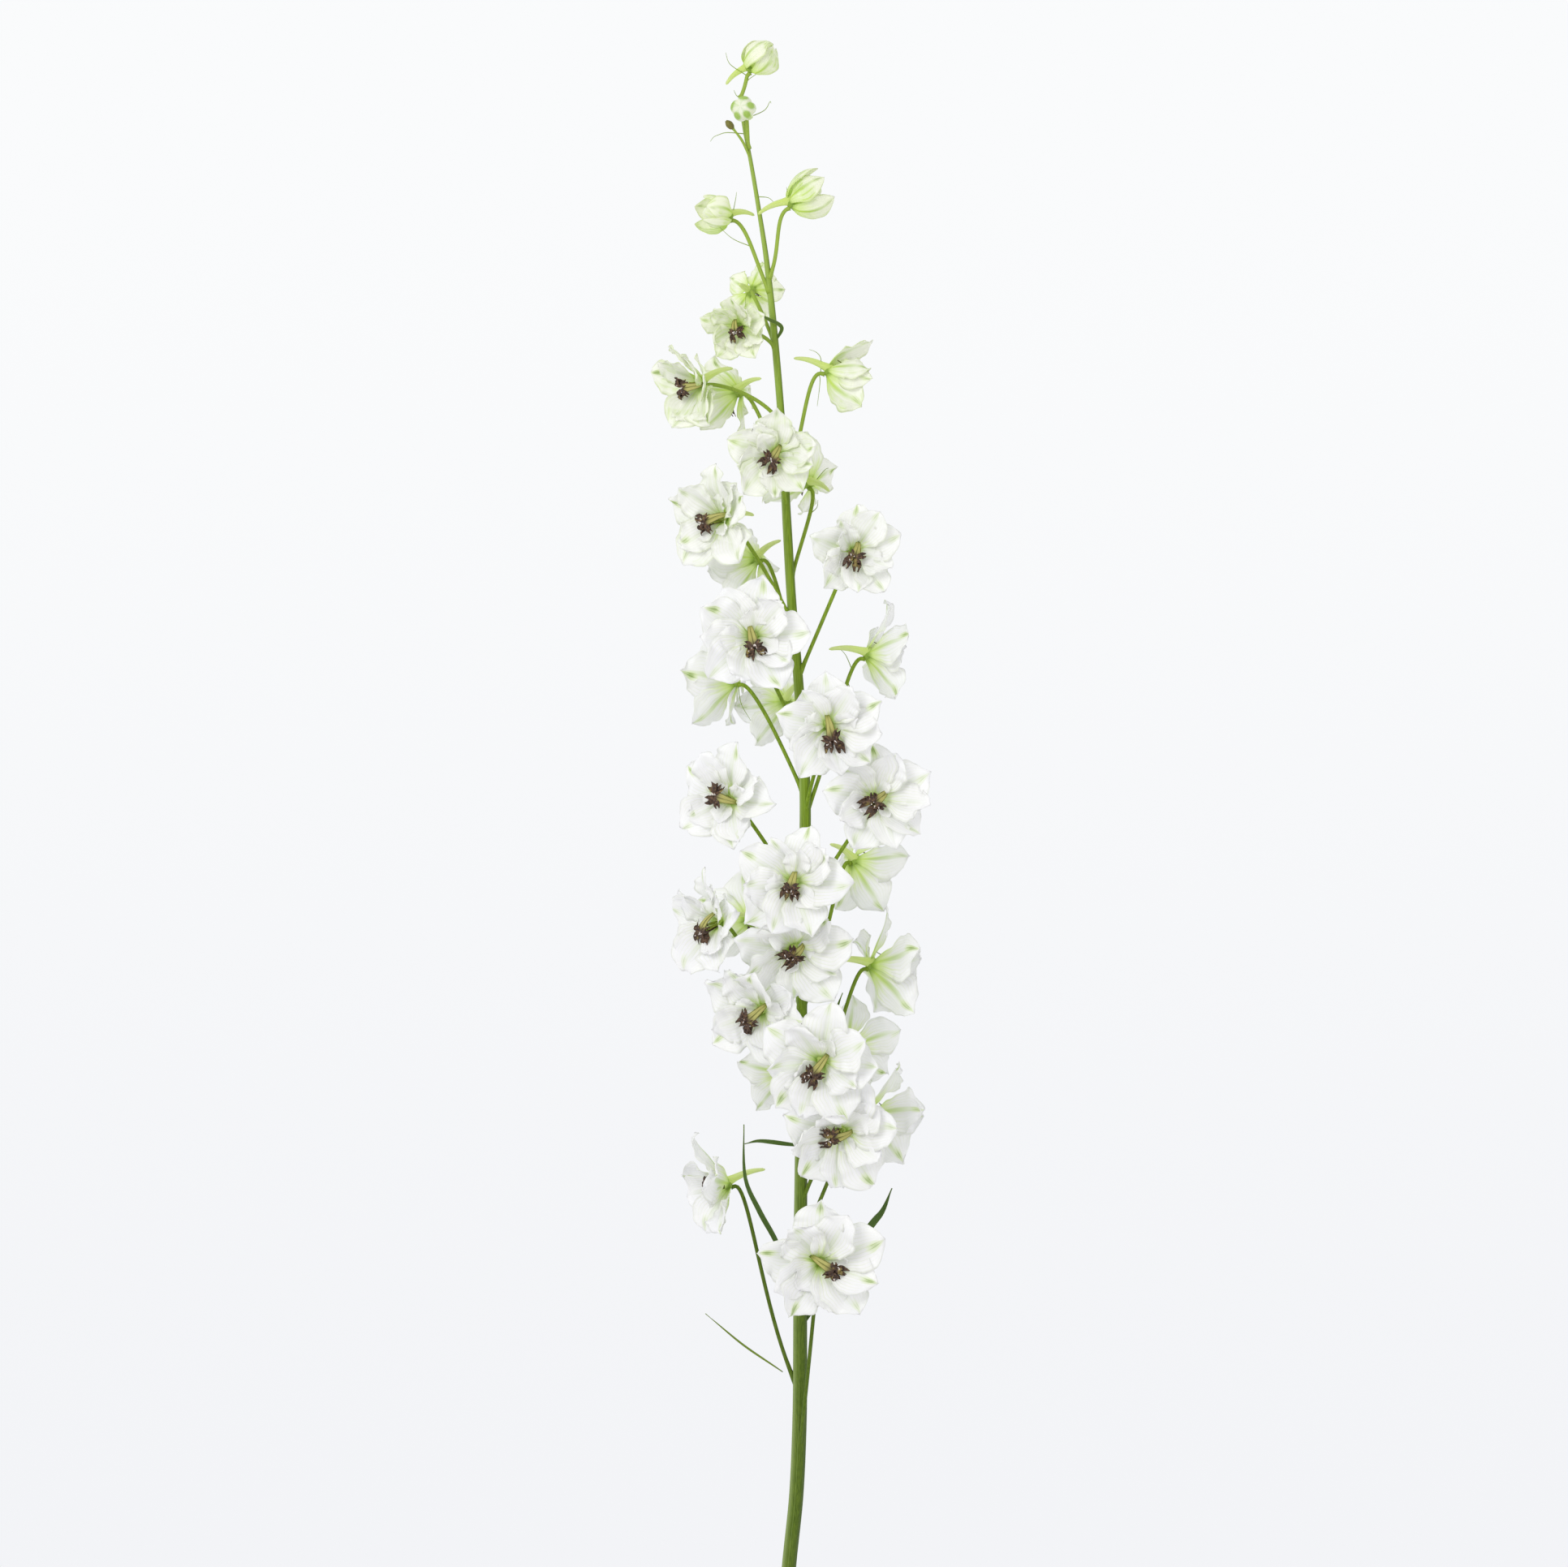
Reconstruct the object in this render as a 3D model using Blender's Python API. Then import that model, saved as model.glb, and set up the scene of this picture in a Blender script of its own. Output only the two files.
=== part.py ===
"""A cut white delphinium spike, laid down on its side: one leafy stem, its blooms and its buds.

The spike lies along Y with its cut end at -Y. X is across it, and the surface it lies on is z = 0.
Every length here is in millimetres, and the finished objects are scaled to metres.

A bloom has five sepals and an inner ring of petals round a small cup, with a spur behind. Every
petal is a thin blade that starts from a rule with seeded draws, and is then bent, turned or
shortened until it clears the blooms and stalks that were placed before it.
"""

import math
import random
from collections import namedtuple

import bmesh
import bpy
from mathutils import Matrix, Vector
from mathutils.bvhtree import BVHTree
from mathutils.geometry import interpolate_bezier

MM = 0.001

# Petals. Leans are degrees away from the bloom's axis.
PETAL_THICKNESS = 1.2  # at the rib, thinning to the rim
PETAL_WIDTH = 0.4  # half width over length
BUD_WIDTH = 0.8  # a closed petal's width over an open one's
CLAW = 0.11  # half width at the root over the greatest half width
BELLY_PLACE = 1.3  # above 1 the widest place moves towards the tip
BELLY_FULLNESS = 0.9  # lower is fuller
PETAL_ROOT = 1.9  # from the axis
SEPALS = 5
SEPAL_STATIONS = (0.0, 0.4, 0.78, 1.0)
SEPAL_ROOT_HEIGHT = -1.0
INNER_STATIONS = (0.0, 0.6, 1.0)
INNER_ROOT_HEIGHT = 0.7
INNER_SHARE = 0.84  # inner petal length over sepal length
INNER_UPRIGHT = 13.0  # how much more upright an inner petal's root stands
INNER_CLOSING = 32.0  # and its tip, on a fully open bloom
INNER_PETALS = 5
SIDE_INNER_PETALS = 4
HIDDEN_INNER_PETALS = 2
ROOT_LEAN = 75.0
ROOT_LEAN_CLOSING = 25.0
BUD_TIP_LEAN = -75.0
OPEN_TIP_LEAN = 100.0
BUD_CUP = 0.4
OPEN_CUP = 0.16
WAVE_RATE = 9.0  # radians of wave along a petal's rim
BUD_OPENING = 0.4  # below this a bloom is a bud with a packed core and no inner petals

# Bending clear
CLEARANCE = 0.45  # left free round a petal
ROOT_BEND = 0.4  # how much of a bend its root takes
BENDS = (0, -8, 8, -16, 16, -25, 25, -35, 35, -48, 48)
SWINGS = (0, -8, 8, -16, 16)
SCALES = (1.0, 0.92, 0.83, 0.73, 0.62, 0.5)
BEND_COST = 0.1
SWING_COST = 0.11
SCALE_COST = 16.0

# The middle of a bloom
HUB_RADIUS = 2.9
HUB_BACK = -2.2
HUB_BACK_SHARE = 0.8  # its flat back's radius over its own
HUB_FRONT = 1.5
HUB_FRONT_SHARE = 0.85
HUB_SIDES = 5
SEAT_GAP = 0.3  # between the hub and what sits on it, and between the hub and its stalk
SPUR_LENGTH = 0.68  # over sepal length
SPUR_RADIUS = 1.9
SPUR_SIDES = 4
SPUR_SEAT = 1.4  # above the axis
SPUR_SUNK = 0.4
SPUR_ARCH = 2.2
SPUR_SWEEP = 2.4  # radians of arch along it
SPUR_STATIONS = ((0.0, 1.0), (0.33, 0.85), (0.72, 0.58), (1.0, 0.36))  # share along, radius
FULL_REACH = 30.0  # the sepal length of a full bloom
SMALL_SPUR = 0.7  # the thickness of the smallest spur
CORE_STATIONS = ((0.0, 0.1), (0.3, 0.3), (0.62, 0.12))  # over sepal length
CORE_SIDES = 5
HEART_LOBES = 4
HEART_RINGS = ((0.0, 1.5, 1.3), (3.6, 3.0, 2.0), (8.4, 5.6, 3.2))  # height, at a lobe, at a fold
HEART_RUFFLE = -1.6  # how much lower the folds are at the top
HEART_DROOP = 1.3  # how far its top hangs below the axis
HEART_PIT = 3.2
HEART_FULL_REACH = 27.0  # smaller blooms have smaller hearts

# Stem and stalks
SHAFT_SIDES = 8
STALK_SIDES = 3
STALK_RADIUS = 0.95
STALK_TAPER = 1.15  # its root's radius over its end's
STALK_SEAT = 1.7  # below the axis
STALK_POINTS = 5
STALK_COLLAR = 1.5  # its straight end
STALK_RISE = 0.38  # the share of its span that it follows the shaft
STALK_SPREAD = 0.5  # how far it leaves sideways while it does
STALK_ARRIVAL = 9.0
BRACT_THICKNESS = 0.8
BRACT_ROOT_SHARE = 0.6
SMOOTH_ANGLE = 50.0

# The shaft from the cut end to the tip: across, along, height of its middle, radius. Its first
# stretch lies flat on the surface.
SHAFT = [
    (-4.0, -400.0, 3.23, 3.5),
    (-3.2, -390.0, 3.23, 3.5),
    (0.0, -354.0, 6.0, 3.5),
    (3.4, -320.0, 10.5, 3.5),
    (5.0, -280.0, 16.5, 3.5),
    (5.2, -240.0, 22.5, 3.4),
    (5.2, -200.0, 28.0, 3.3),
    (5.6, -160.0, 33.0, 3.1),
    (5.8, -120.0, 37.0, 2.9),
    (5.8, -78.0, 40.0, 2.8),
    (6.8, -26.0, 42.0, 2.8),
    (7.6, 26.0, 42.5, 2.7),
    (4.6, 78.0, 42.0, 2.4),
    (1.2, 118.0, 41.0, 2.3),
    (-1.2, 158.0, 39.0, 2.2),
    (-4.0, 210.0, 36.0, 1.8),
    (-8.0, 258.0, 32.5, 1.7),
    (-11.4, 290.0, 30.0, 1.3),
    (-15.0, 314.0, 28.0, 1.1),
    (-19.0, 338.0, 26.0, 1.0),
    (-22.6, 357.0, 24.5, 0.9),
    (-24.6, 372.0, 23.5, 0.8),
]

# One row a bloom, counted from the tip down. place: its hub. facing: right, along, up.
# opening: 0 is a tight bud and 1 a flat open bloom. reach: sepal length. joint: where its stalk
# leaves the shaft, along Y. roll: its upper sepal's turn round the axis, in degrees.
Bloom = namedtuple("Bloom", "name place facing opening reach joint roll")
BLOOMS = [
    Bloom("bud_01", (-19.4, 386.0, 25.0), (0.68, 0.69, 0.25), 0.04, 21.0, 371.0, 0),
    Bloom("bud_02", (-21.8, 363.5, 38.0), (0.05, -0.1, 1.0), 0.0, 14.5, 346.0, 20),
    Bloom("bud_04", (-30.4, 312.2, 30.0), (-0.9, 0.15, 0.42), 0.24, 20.0, 274.0, 0),
    Bloom("bud_05", (0.8, 318.6, 30.0), (0.85, 0.47, -0.15), 0.2, 25.0, 281.0, 0),
    Bloom("bloom_06", (-19.0, 276.0, 14.0), (0.25, -0.1, -0.95), 0.75, 17.0, 247.0, -60),
    Bloom("bloom_07", (-24.6, 256.6, 46.0), (-0.3, -0.25, 0.92), 0.64, 20.0, 246.0, 0),
    Bloom("bloom_08", (19.5, 235.2, 32.0), (0.97, -0.2, -0.1), 0.42, 26.5, 180.0, 0),
    Bloom("bloom_09", (-43.0, 228.8, 48.0), (-0.78, -0.25, 0.56), 0.72, 28.0, 208.0, 0),
    Bloom("bloom_10", (-26.0, 225.2, 25.0), (-0.66, -0.2, -0.7), 0.68, 25.0, 184.0, 0),
    Bloom("bloom_11", (-7.6, 193.0, 64.0), (0.0, -0.12, 1.0), 0.82, 25.0, 168.0, 0),
    Bloom("bloom_12", (9.2, 180.4, 20.0), (-0.5, 0.4, -0.77), 0.8, 25.0, 131.0, 0),
    Bloom("bloom_13", (-32.0, 161.6, 54.0), (-0.66, 0.02, 0.75), 0.85, 30.0, 110.0, 0),
    Bloom("bloom_14", (-16.4, 142.4, 23.0), (-0.66, -0.35, -0.66), 0.72, 27.0, 97.0, 0),
    Bloom("bloom_15", (30.8, 145.2, 58.0), (0.2, 0.0, 0.98), 0.88, 25.0, 84.0, 0),
    Bloom("bloom_16", (-18.0, 103.2, 74.0), (-0.05, 0.05, 1.0), 0.95, 31.0, 48.0, -10),
    Bloom("bloom_17", (38.8, 95.2, 26.5), (0.94, 0.0, -0.3), 0.8, 29.0, 16.0, 0),
    Bloom("bloom_18", (-27.2, 82.0, 25.0), (-0.84, -0.1, -0.5), 0.75, 29.0, 25.0, 0),
    Bloom("bloom_19", (-2.0, 72.0, 17.0), (-0.4, -0.35, -0.85), 0.8, 27.0, 40.0, 0),
    Bloom("bloom_20", (18.8, 60.0, 77.0), (0.08, -0.05, 1.0), 0.95, 29.0, 16.0, 8),
    Bloom("bloom_21", (-28.5, 24.0, 58.0), (-0.5, 0.05, 0.86), 0.92, 29.0, -30.0, -20),
    Bloom("bloom_22", (42.0, 24.0, 62.0), (0.2, 0.05, 0.98), 0.96, 29.0, -34.0, 10),
    Bloom("bloom_23", (31.6, -6.8, 28.0), (0.62, -0.3, -0.72), 0.8, 28.0, -80.0, 0),
    Bloom("bloom_24", (2.0, -16.8, 80.0), (-0.1, 0.05, 1.0), 0.96, 31.0, -56.0, -15),
    Bloom("bloom_25", (-34.4, -36.8, 54.0), (-0.8, -0.05, 0.6), 0.88, 30.0, -112.0, 0),
    Bloom("bloom_26", (-20.4, -36.0, 16.0), (-0.3, 0.05, -0.95), 0.8, 26.0, -92.0, 0),
    Bloom("bloom_27", (2.0, -48.5, 65.0), (0.05, -0.35, 0.94), 0.92, 32.0, -84.0, 0),
    Bloom("bloom_28", (40.0, -58.0, 34.0), (0.88, 0.02, -0.45), 0.9, 32.5, -142.0, 0),
    Bloom("bloom_29", (-13.0, -79.2, 62.0), (-0.42, -0.2, 0.88), 0.9, 30.0, -122.0, -20),
    Bloom("bloom_30", (-3.0, -112.0, 16.0), (-0.35, -0.1, -0.93), 0.8, 23.0, -150.0, 0),
    Bloom("bloom_31", (15.8, -103.8, 76.0), (-0.12, -0.2, 0.97), 0.94, 33.0, -152.0, -15),
    Bloom("bloom_32", (39.6, -131.6, 28.0), (0.8, -0.15, -0.55), 0.78, 30.0, -196.0, 0),
    Bloom("bloom_33", (30.0, -98.0, 17.0), (0.35, 0.25, -0.9), 0.8, 25.0, -128.0, 0),
    Bloom("bloom_34", (25.2, -137.5, 64.0), (0.02, -0.35, 0.93), 0.92, 31.0, -178.0, -10),
    Bloom("bloom_35", (-31.0, -166.8, 22.0), (-0.9, -0.2, 0.25), 0.8, 30.0, -270.0, 0),
    Bloom("bloom_36", (14.8, -203.0, 54.0), (0.12, -0.05, 0.98), 0.95, 34.0, -304.0, 5),
]

# Blooms whose face is pressed down, which have no dark heart of their own.
FACE_DOWN = ("bloom_06", "bloom_10", "bloom_12", "bloom_18", "bloom_19", "bloom_26")
FACE_DOWN += ("bloom_30", "bloom_33")

# Bud 3 withered while it was small: places and radii along its stalk and body.
WITHERED_BUD = [
    ((-19.6, 341.0, 25.8), 0.5),
    ((-23.2, 349.0, 29.0), 0.7),
    ((-27.4, 354.6, 31.0), 0.6),
    ((-28.6, 356.0, 31.6), 1.5),
    ((-30.0, 357.6, 32.2), 1.7),
    ((-31.4, 359.0, 32.8), 0.6),
]
WITHERED_SIDES = 5

# Bracts on the shaft and its stalks: points along the middle, and the greatest half width.
BRACTS = [
    ([(5, -224, 25), (-6, -196, 31), (-15, -179, 36), (-22, -162, 41), (-22.5, -136, 46)], 1.2),
    ([(5.6, -147, 34), (-2, -146, 36), (-9, -145, 37), (-16, -144.6, 37), (-22.2, -146, 36)], 1.0),
    ([(5, -238, 23), (22, -212, 23), (40, -187, 28), (46, -179, 31), (50.5, -168, 34)], 1.7),
    ([(5.8, -118, 37), (14, -100, 46), (21.5, -82.5, 52), (26, -71, 55)], 1.0),
    ([(-6.5, 251, 33), (-4, 257, 36), (-11, 261, 39), (-18, 264, 41)], 0.9),
    ([(-3.4, -259.6, 22), (-23.6, -245.4, 26), (-41.6, -230, 32)], 0.45),
]

LEAF_GREEN = (0.12, 0.24, 0.05)
PETAL_WHITE = (0.86, 0.88, 0.84)
BUD_GREEN = (0.66, 0.76, 0.4)
HEART_BROWN = (0.06, 0.03, 0.02)

UPWARD = Vector((0.0, 0.0, 1.0))
ALONG = Vector((0.0, 1.0, 0.0))
ACROSS = Vector((1.0, 0.0, 0.0))

# How a petal grows: its angle round the axis, the height of its root, its length, the leans of
# root and tip, the tilt that lays it over its neighbour, the shares of its half width and length
# that cup it and wave its rim, and the shares of its length where its outline has points.
Petal = namedtuple(
    "Petal", "angle root_height length root_lean tip_lean shingle cup wave stations"
)


def unit(vector):
    """The direction of a vector."""
    return Vector(vector).normalized()


def mix(start, end, share):
    """A value between two others."""
    return start + (end - start) * share


def settled(point, lowest):
    """A point kept above the surface that the spike lies on."""
    return Vector((point.x, point.y, max(point.z, lowest)))


def shaft_at(along):
    """The middle of the shaft at a place along Y."""
    for low, high in zip(SHAFT, SHAFT[1:]):
        if along <= high[1]:
            share = (along - low[1]) / (high[1] - low[1])
            return Vector(low[:3]).lerp(Vector(high[:3]), share)
    return Vector(SHAFT[-1][:3])


def bloom_axes(bloom):
    """Right, up and facing directions: up is towards the spike's tip before its roll."""
    facing = unit(bloom.facing)
    up = unit(ALONG - facing * facing.y)
    up = Matrix.Rotation(math.radians(bloom.roll), 3, facing) @ up
    return up.cross(facing), up, facing


def tube(points, radii, sides):
    """A closed tube along points, as vertices and triangles, with a flat side down."""
    along = unit(points[1] - points[0])
    side = unit(along.cross(UPWARD if abs(along.z) < 0.8 else ACROSS))
    corners = []
    for i, point in enumerate(points):
        along = unit(points[min(i + 1, len(points) - 1)] - points[max(i - 1, 0)])
        side = unit(side - along * side.dot(along))
        top = side.cross(along)
        for k in range(sides):
            angle = math.tau * (k + 0.5) / sides
            corners.append(point + (side * math.sin(angle) + top * math.cos(angle)) * radii[i])
    faces = []
    for i in range(len(points) - 1):
        faces += band(i * sides, sides)
    last = (len(points) - 1) * sides
    for k in range(1, sides - 1):
        faces.append((0, k + 1, k))
        faces.append((last, last + k, last + k + 1))
    return corners, faces


def band(start, sides):
    """Triangles between the ring of vertices from start and the ring after it."""
    faces = []
    for k in range(sides):
        here = start + k
        beside = start + (k + 1) % sides
        faces.append((here, beside, beside + sides))
        faces.append((here, beside + sides, here + sides))
    return faces


def blade(rows, tip):
    """A closed blade from rows of left, top, right and bottom points, and its tip.

    Top and bottom are split along the same diagonals, so a waved blade never cuts itself.
    """
    corners = [point for row in rows for point in row]
    corners.append(tip)
    faces = [(0, 1, 2), (0, 2, 3)]
    for i in range(len(rows) - 1):
        left, top, right, bottom = range(4 * i, 4 * i + 4)
        for rim in (left, right):
            for rib in (top, bottom):
                faces.append((rim, rib, rib + 4))
                faces.append((rim, rib + 4, rim + 4))
    last = 4 * (len(rows) - 1)
    for k in range(4):
        faces.append((last + k, last + (k + 1) % 4, len(corners) - 1))
    return corners, faces


def sepal(bloom, place, leans, rng):
    """One of the five outer petals of a bloom."""
    face_down = bloom.facing[2] < -0.5
    return Petal(
        angle=360.0 * place / SEPALS + rng.uniform(-5, 5),
        root_height=SEPAL_ROOT_HEIGHT,
        length=bloom.reach * rng.uniform(0.93, 1.04),
        root_lean=leans[0] + rng.uniform(-4, 4),
        tip_lean=leans[1] + rng.uniform(-9, 9),
        shingle=rng.uniform(15, 19),
        cup=mix(BUD_CUP, OPEN_CUP, bloom.opening) + rng.uniform(-0.06, 0.06),
        wave=rng.uniform(-0.03, 0.03),
        stations=INNER_STATIONS if face_down else SEPAL_STATIONS,
    )


def inner_petal(bloom, place, ring, leans, rng):
    """One of the smaller petals that stand inside the sepals."""
    return Petal(
        angle=360.0 * (place + 0.5) / ring + rng.uniform(-8, 8),
        root_height=INNER_ROOT_HEIGHT,
        length=bloom.reach * INNER_SHARE * rng.uniform(0.88, 1.06),
        root_lean=leans[0] - INNER_UPRIGHT + rng.uniform(-3, 4),
        tip_lean=leans[1] - INNER_CLOSING * bloom.opening + rng.uniform(-10, 8),
        shingle=rng.uniform(14, 19),
        cup=rng.uniform(0.12, 0.28),
        wave=rng.uniform(-0.04, 0.04),
        stations=INNER_STATIONS,
    )


def bloom_petals(bloom):
    """The petals of a bloom in their layers: the sepals, then the inner ring."""
    rng = random.Random(bloom.name)
    root_lean = ROOT_LEAN - ROOT_LEAN_CLOSING * bloom.opening
    leans = (root_lean, mix(BUD_TIP_LEAN, OPEN_TIP_LEAN, bloom.opening))
    petals = [sepal(bloom, k, leans, rng) for k in range(SEPALS)]
    if bloom.opening < BUD_OPENING:
        return petals
    ring = HIDDEN_INNER_PETALS
    if bloom.facing[2] > 0.3:
        ring = SIDE_INNER_PETALS
    if bloom.facing[2] > 0.9:
        ring = INNER_PETALS
    return petals + [inner_petal(bloom, k, ring, leans, rng) for k in range(ring)]


def outline(share):
    """Half the width of a petal at a share of its length, over its greatest half width."""
    belly = math.sin(math.pi * share**BELLY_PLACE) ** BELLY_FULLNESS
    return CLAW + (1.0 - CLAW) * belly


def petal_blade(axes, middle, petal, way, grow=0.0):
    """One petal as a closed blade, bent one way. grow swells it, to test what it clears."""
    right, up, facing = axes
    bend, swing, scale = way
    angle = math.radians(petal.angle + swing)
    outward = up * math.cos(angle) + right * math.sin(angle)
    side = outward.cross(facing)
    length = petal.length * scale
    widest = PETAL_WIDTH * length * (BUD_WIDTH if petal.tip_lean < 0 else 1.0)
    root_lean = petal.root_lean + bend * ROOT_BEND
    tip_lean = petal.tip_lean + bend
    tilt = math.radians(petal.shingle)
    thick = PETAL_THICKNESS / 2 + grow
    rib = middle + outward * PETAL_ROOT + facing * petal.root_height
    reached = 0.0
    rows = []
    for share in petal.stations:
        course = math.radians(mix(root_lean, tip_lean, (share + reached) / 2))
        step = (share - reached) * (length + grow)
        rib = rib + (outward * math.sin(course) + facing * math.cos(course)) * step
        reached = share
        course = math.radians(mix(root_lean, tip_lean, share))
        flat = facing * math.sin(course) - outward * math.cos(course)
        across = side * math.cos(tilt) + flat * math.sin(tilt)
        normal = flat * math.cos(tilt) - side * math.sin(tilt)
        half = widest * outline(share) + grow
        lift = petal.cup * half
        wave = petal.wave * length * math.sin(WAVE_RATE * share)
        left = settled(rib - across * half + normal * (lift + wave), 0.0)
        right_rim = settled(rib + across * half + normal * (lift - wave), 0.0)
        top = settled(rib + normal * thick, PETAL_THICKNESS)
        bottom = settled(rib - normal * thick, 0.0)
        rows.append((left, top, right_rim, bottom))
    rows.pop()
    return blade(rows, settled(rib, 0.0))


def bending_ways():
    """Ways to bend, swing and shorten a petal, the gentlest first."""
    ways = []
    for bend in BENDS:
        for swing in SWINGS:
            for scale in SCALES:
                cost = abs(bend) * BEND_COST + abs(swing) * SWING_COST + (1 - scale) * SCALE_COST
                ways.append((cost, bend, swing, scale))
    return [way[1:] for way in sorted(ways)]


def search_tree(pieces):
    """A tree that finds where other shapes cross these pieces."""
    corners = []
    faces = []
    for piece_corners, piece_faces in pieces:
        faces += [tuple(index + len(corners) for index in face) for face in piece_faces]
        corners += piece_corners
    return BVHTree.FromPolygons(corners, faces)


def clear_petal(axes, middle, petal, ways, others):
    """A petal bent the gentlest way that clears the others, or None where none does."""
    for way in ways:
        swollen = search_tree([petal_blade(axes, middle, petal, way, CLEARANCE)])
        if not any(swollen.overlap(other) for other in others):
            return petal_blade(axes, middle, petal, way)
    return None


def hub(axes, middle):
    """The small cup that petals and spur grow from, flat in front and behind."""
    facing = axes[2]
    points = [middle + facing * HUB_BACK, middle, middle + facing * HUB_FRONT]
    radii = [HUB_RADIUS * HUB_BACK_SHARE, HUB_RADIUS, HUB_RADIUS * HUB_FRONT_SHARE]
    return tube(points, radii, HUB_SIDES)


def spur(axes, middle, reach):
    """The horn behind the upper sepal."""
    right, up, facing = axes
    girth = SPUR_RADIUS * mix(SMALL_SPUR, 1.0, reach / FULL_REACH)
    points = []
    for share, _ in SPUR_STATIONS:
        rise = SPUR_SEAT + SPUR_ARCH * math.sin(SPUR_SWEEP * share)
        points.append(middle + up * rise - facing * (SPUR_SUNK + SPUR_LENGTH * reach * share))
    return tube(points, [girth * station[1] for station in SPUR_STATIONS], SPUR_SIDES)


def core(axes, middle, reach):
    """The packed inside of a closed bud, which its sepals stand out of."""
    facing = axes[2]
    points = [middle + facing * reach * share for share, _ in CORE_STATIONS]
    return tube(points, [reach * station[1] for station in CORE_STATIONS], CORE_SIDES)


def heart(axes, middle, reach):
    """The dark heart of a bloom: four folded lobes round a pit, on a narrow foot."""
    right, up, facing = axes
    seat = middle + facing * (HUB_FRONT + SEAT_GAP)
    size = min(reach / HEART_FULL_REACH, 1.0)
    full_height = HEART_RINGS[-1][0]
    around = 2 * HEART_LOBES
    corners = []
    for height, lobe, fold in HEART_RINGS:
        for k in range(around):
            angle = math.tau * (k + 0.5) / around
            outward = up * math.cos(angle) + right * math.sin(angle)
            radius = fold if k % 2 else lobe
            rise = height + (HEART_RUFFLE if k % 2 else 0.0) * height / full_height
            droop = HEART_DROOP * height / full_height
            corners.append(seat + (outward * radius + facing * rise - up * droop) * size)
    corners.append(seat + facing * HEART_PIT * size)
    faces = band(0, around) + band(around, around)
    last = (len(HEART_RINGS) - 1) * around
    for k in range(around):
        faces.append((last + k, last + (k + 1) % around, len(corners) - 1))
    for k in range(1, around - 1):
        faces.append((0, k + 1, k))
    return corners, faces


def stalk(bloom, axes):
    """A bloom's stalk, from inside the shaft to just behind its hub."""
    right, up, facing = axes
    root = shaft_at(bloom.joint)
    end = Vector(bloom.place) + facing * (HUB_BACK - SEAT_GAP) - up * STALK_SEAT
    span = (end - root).length
    sideways = end - root
    sideways.y = 0.0
    leaving = unit(unit(sideways) * STALK_SPREAD + ALONG)
    arrival = min(STALK_ARRIVAL, span * 0.3)
    path = interpolate_bezier(
        root,
        root + leaving * span * STALK_RISE,
        end - facing * arrival - up * STALK_COLLAR,
        end - facing * STALK_COLLAR,
        STALK_POINTS,
    )
    path.append(end)
    radii = [STALK_RADIUS * mix(STALK_TAPER, 1.0, i / STALK_POINTS) for i in range(len(path))]
    return tube(path, radii, STALK_SIDES)


def bract(points, greatest):
    """A narrow leaf along points, from inside what it grows from to its tip."""
    path = [Vector(point) for point in points]
    rows = []
    for i, point in enumerate(path[:-1]):
        along = unit(path[i + 1] - path[max(i - 1, 0)])
        half = greatest * (1.0 if i else BRACT_ROOT_SHARE)
        across = unit(along.cross(UPWARD))
        normal = across.cross(along) * BRACT_THICKNESS / 2
        rows.append((point - across * half, point + normal, point + across * half, point - normal))
    return blade(rows, path[-1])


def mesh_object(name, piece, folder):
    """An object from a piece's vertices and triangles, with every face turned out."""
    corners, faces = piece
    mesh = bpy.data.meshes.new(name)
    mesh.from_pydata([tuple(corner) for corner in corners], [], faces)
    shape = bmesh.new()
    shape.from_mesh(mesh)
    bmesh.ops.recalc_face_normals(shape, faces=shape.faces)
    shape.to_mesh(mesh)
    shape.free()
    obj = bpy.data.objects.new(name, mesh)
    folder.objects.link(obj)
    return obj


def keep_largest(mesh):
    """Fill sealed hollows and drop loose scraps: only the largest closed surface stays."""
    shape = bmesh.new()
    shape.from_mesh(mesh)
    unseen = set(shape.verts)
    islands = []
    while unseen:
        front = [unseen.pop()]
        island = list(front)
        while front:
            vert = front.pop()
            for edge in vert.link_edges:
                other = edge.other_vert(vert)
                if other in unseen:
                    unseen.remove(other)
                    island.append(other)
                    front.append(other)
        islands.append(island)
    islands.sort(key=len)
    for island in islands[:-1]:
        bmesh.ops.delete(shape, geom=island, context="VERTS")
    shape.to_mesh(mesh)
    shape.free()


def union(body, pieces):
    """One closed mesh from a body and the pieces that overlap it."""
    repeats = bpy.data.collections.new("repeats")
    bpy.context.scene.collection.children.link(repeats)
    for i, piece in enumerate(pieces):
        mesh_object(f"piece_{i}", piece, repeats)
    joint = body.modifiers.new("union", "BOOLEAN")
    joint.operation = "UNION"
    joint.operand_type = "COLLECTION"
    joint.collection = repeats
    evaluated = body.evaluated_get(bpy.context.evaluated_depsgraph_get())
    body.data = bpy.data.meshes.new_from_object(evaluated)
    body.modifiers.clear()
    for obj in list(repeats.objects):
        bpy.data.objects.remove(obj)
    bpy.data.collections.remove(repeats)
    keep_largest(body.data)


def solid(name, pieces, finish):
    """A finished object in metres, from pieces in millimetres."""
    body = mesh_object(name, pieces[0], bpy.context.scene.collection)
    if len(pieces) > 1:
        union(body, pieces[1:])
    body.data.name = name
    body.data.transform(Matrix.Scale(MM, 4))
    body.data.materials.clear()
    body.data.materials.append(finish)
    body.data.shade_smooth()
    body.data.set_sharp_from_angle(angle=math.radians(SMOOTH_ANGLE))
    return body


def material(name, colour, roughness):
    """A plain finish."""
    made = bpy.data.materials.new(name)
    made.use_nodes = True
    shader = made.node_tree.nodes["Principled BSDF"]
    shader.inputs["Base Color"].default_value = (*colour, 1.0)
    shader.inputs["Roughness"].default_value = roughness
    return made


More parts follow.
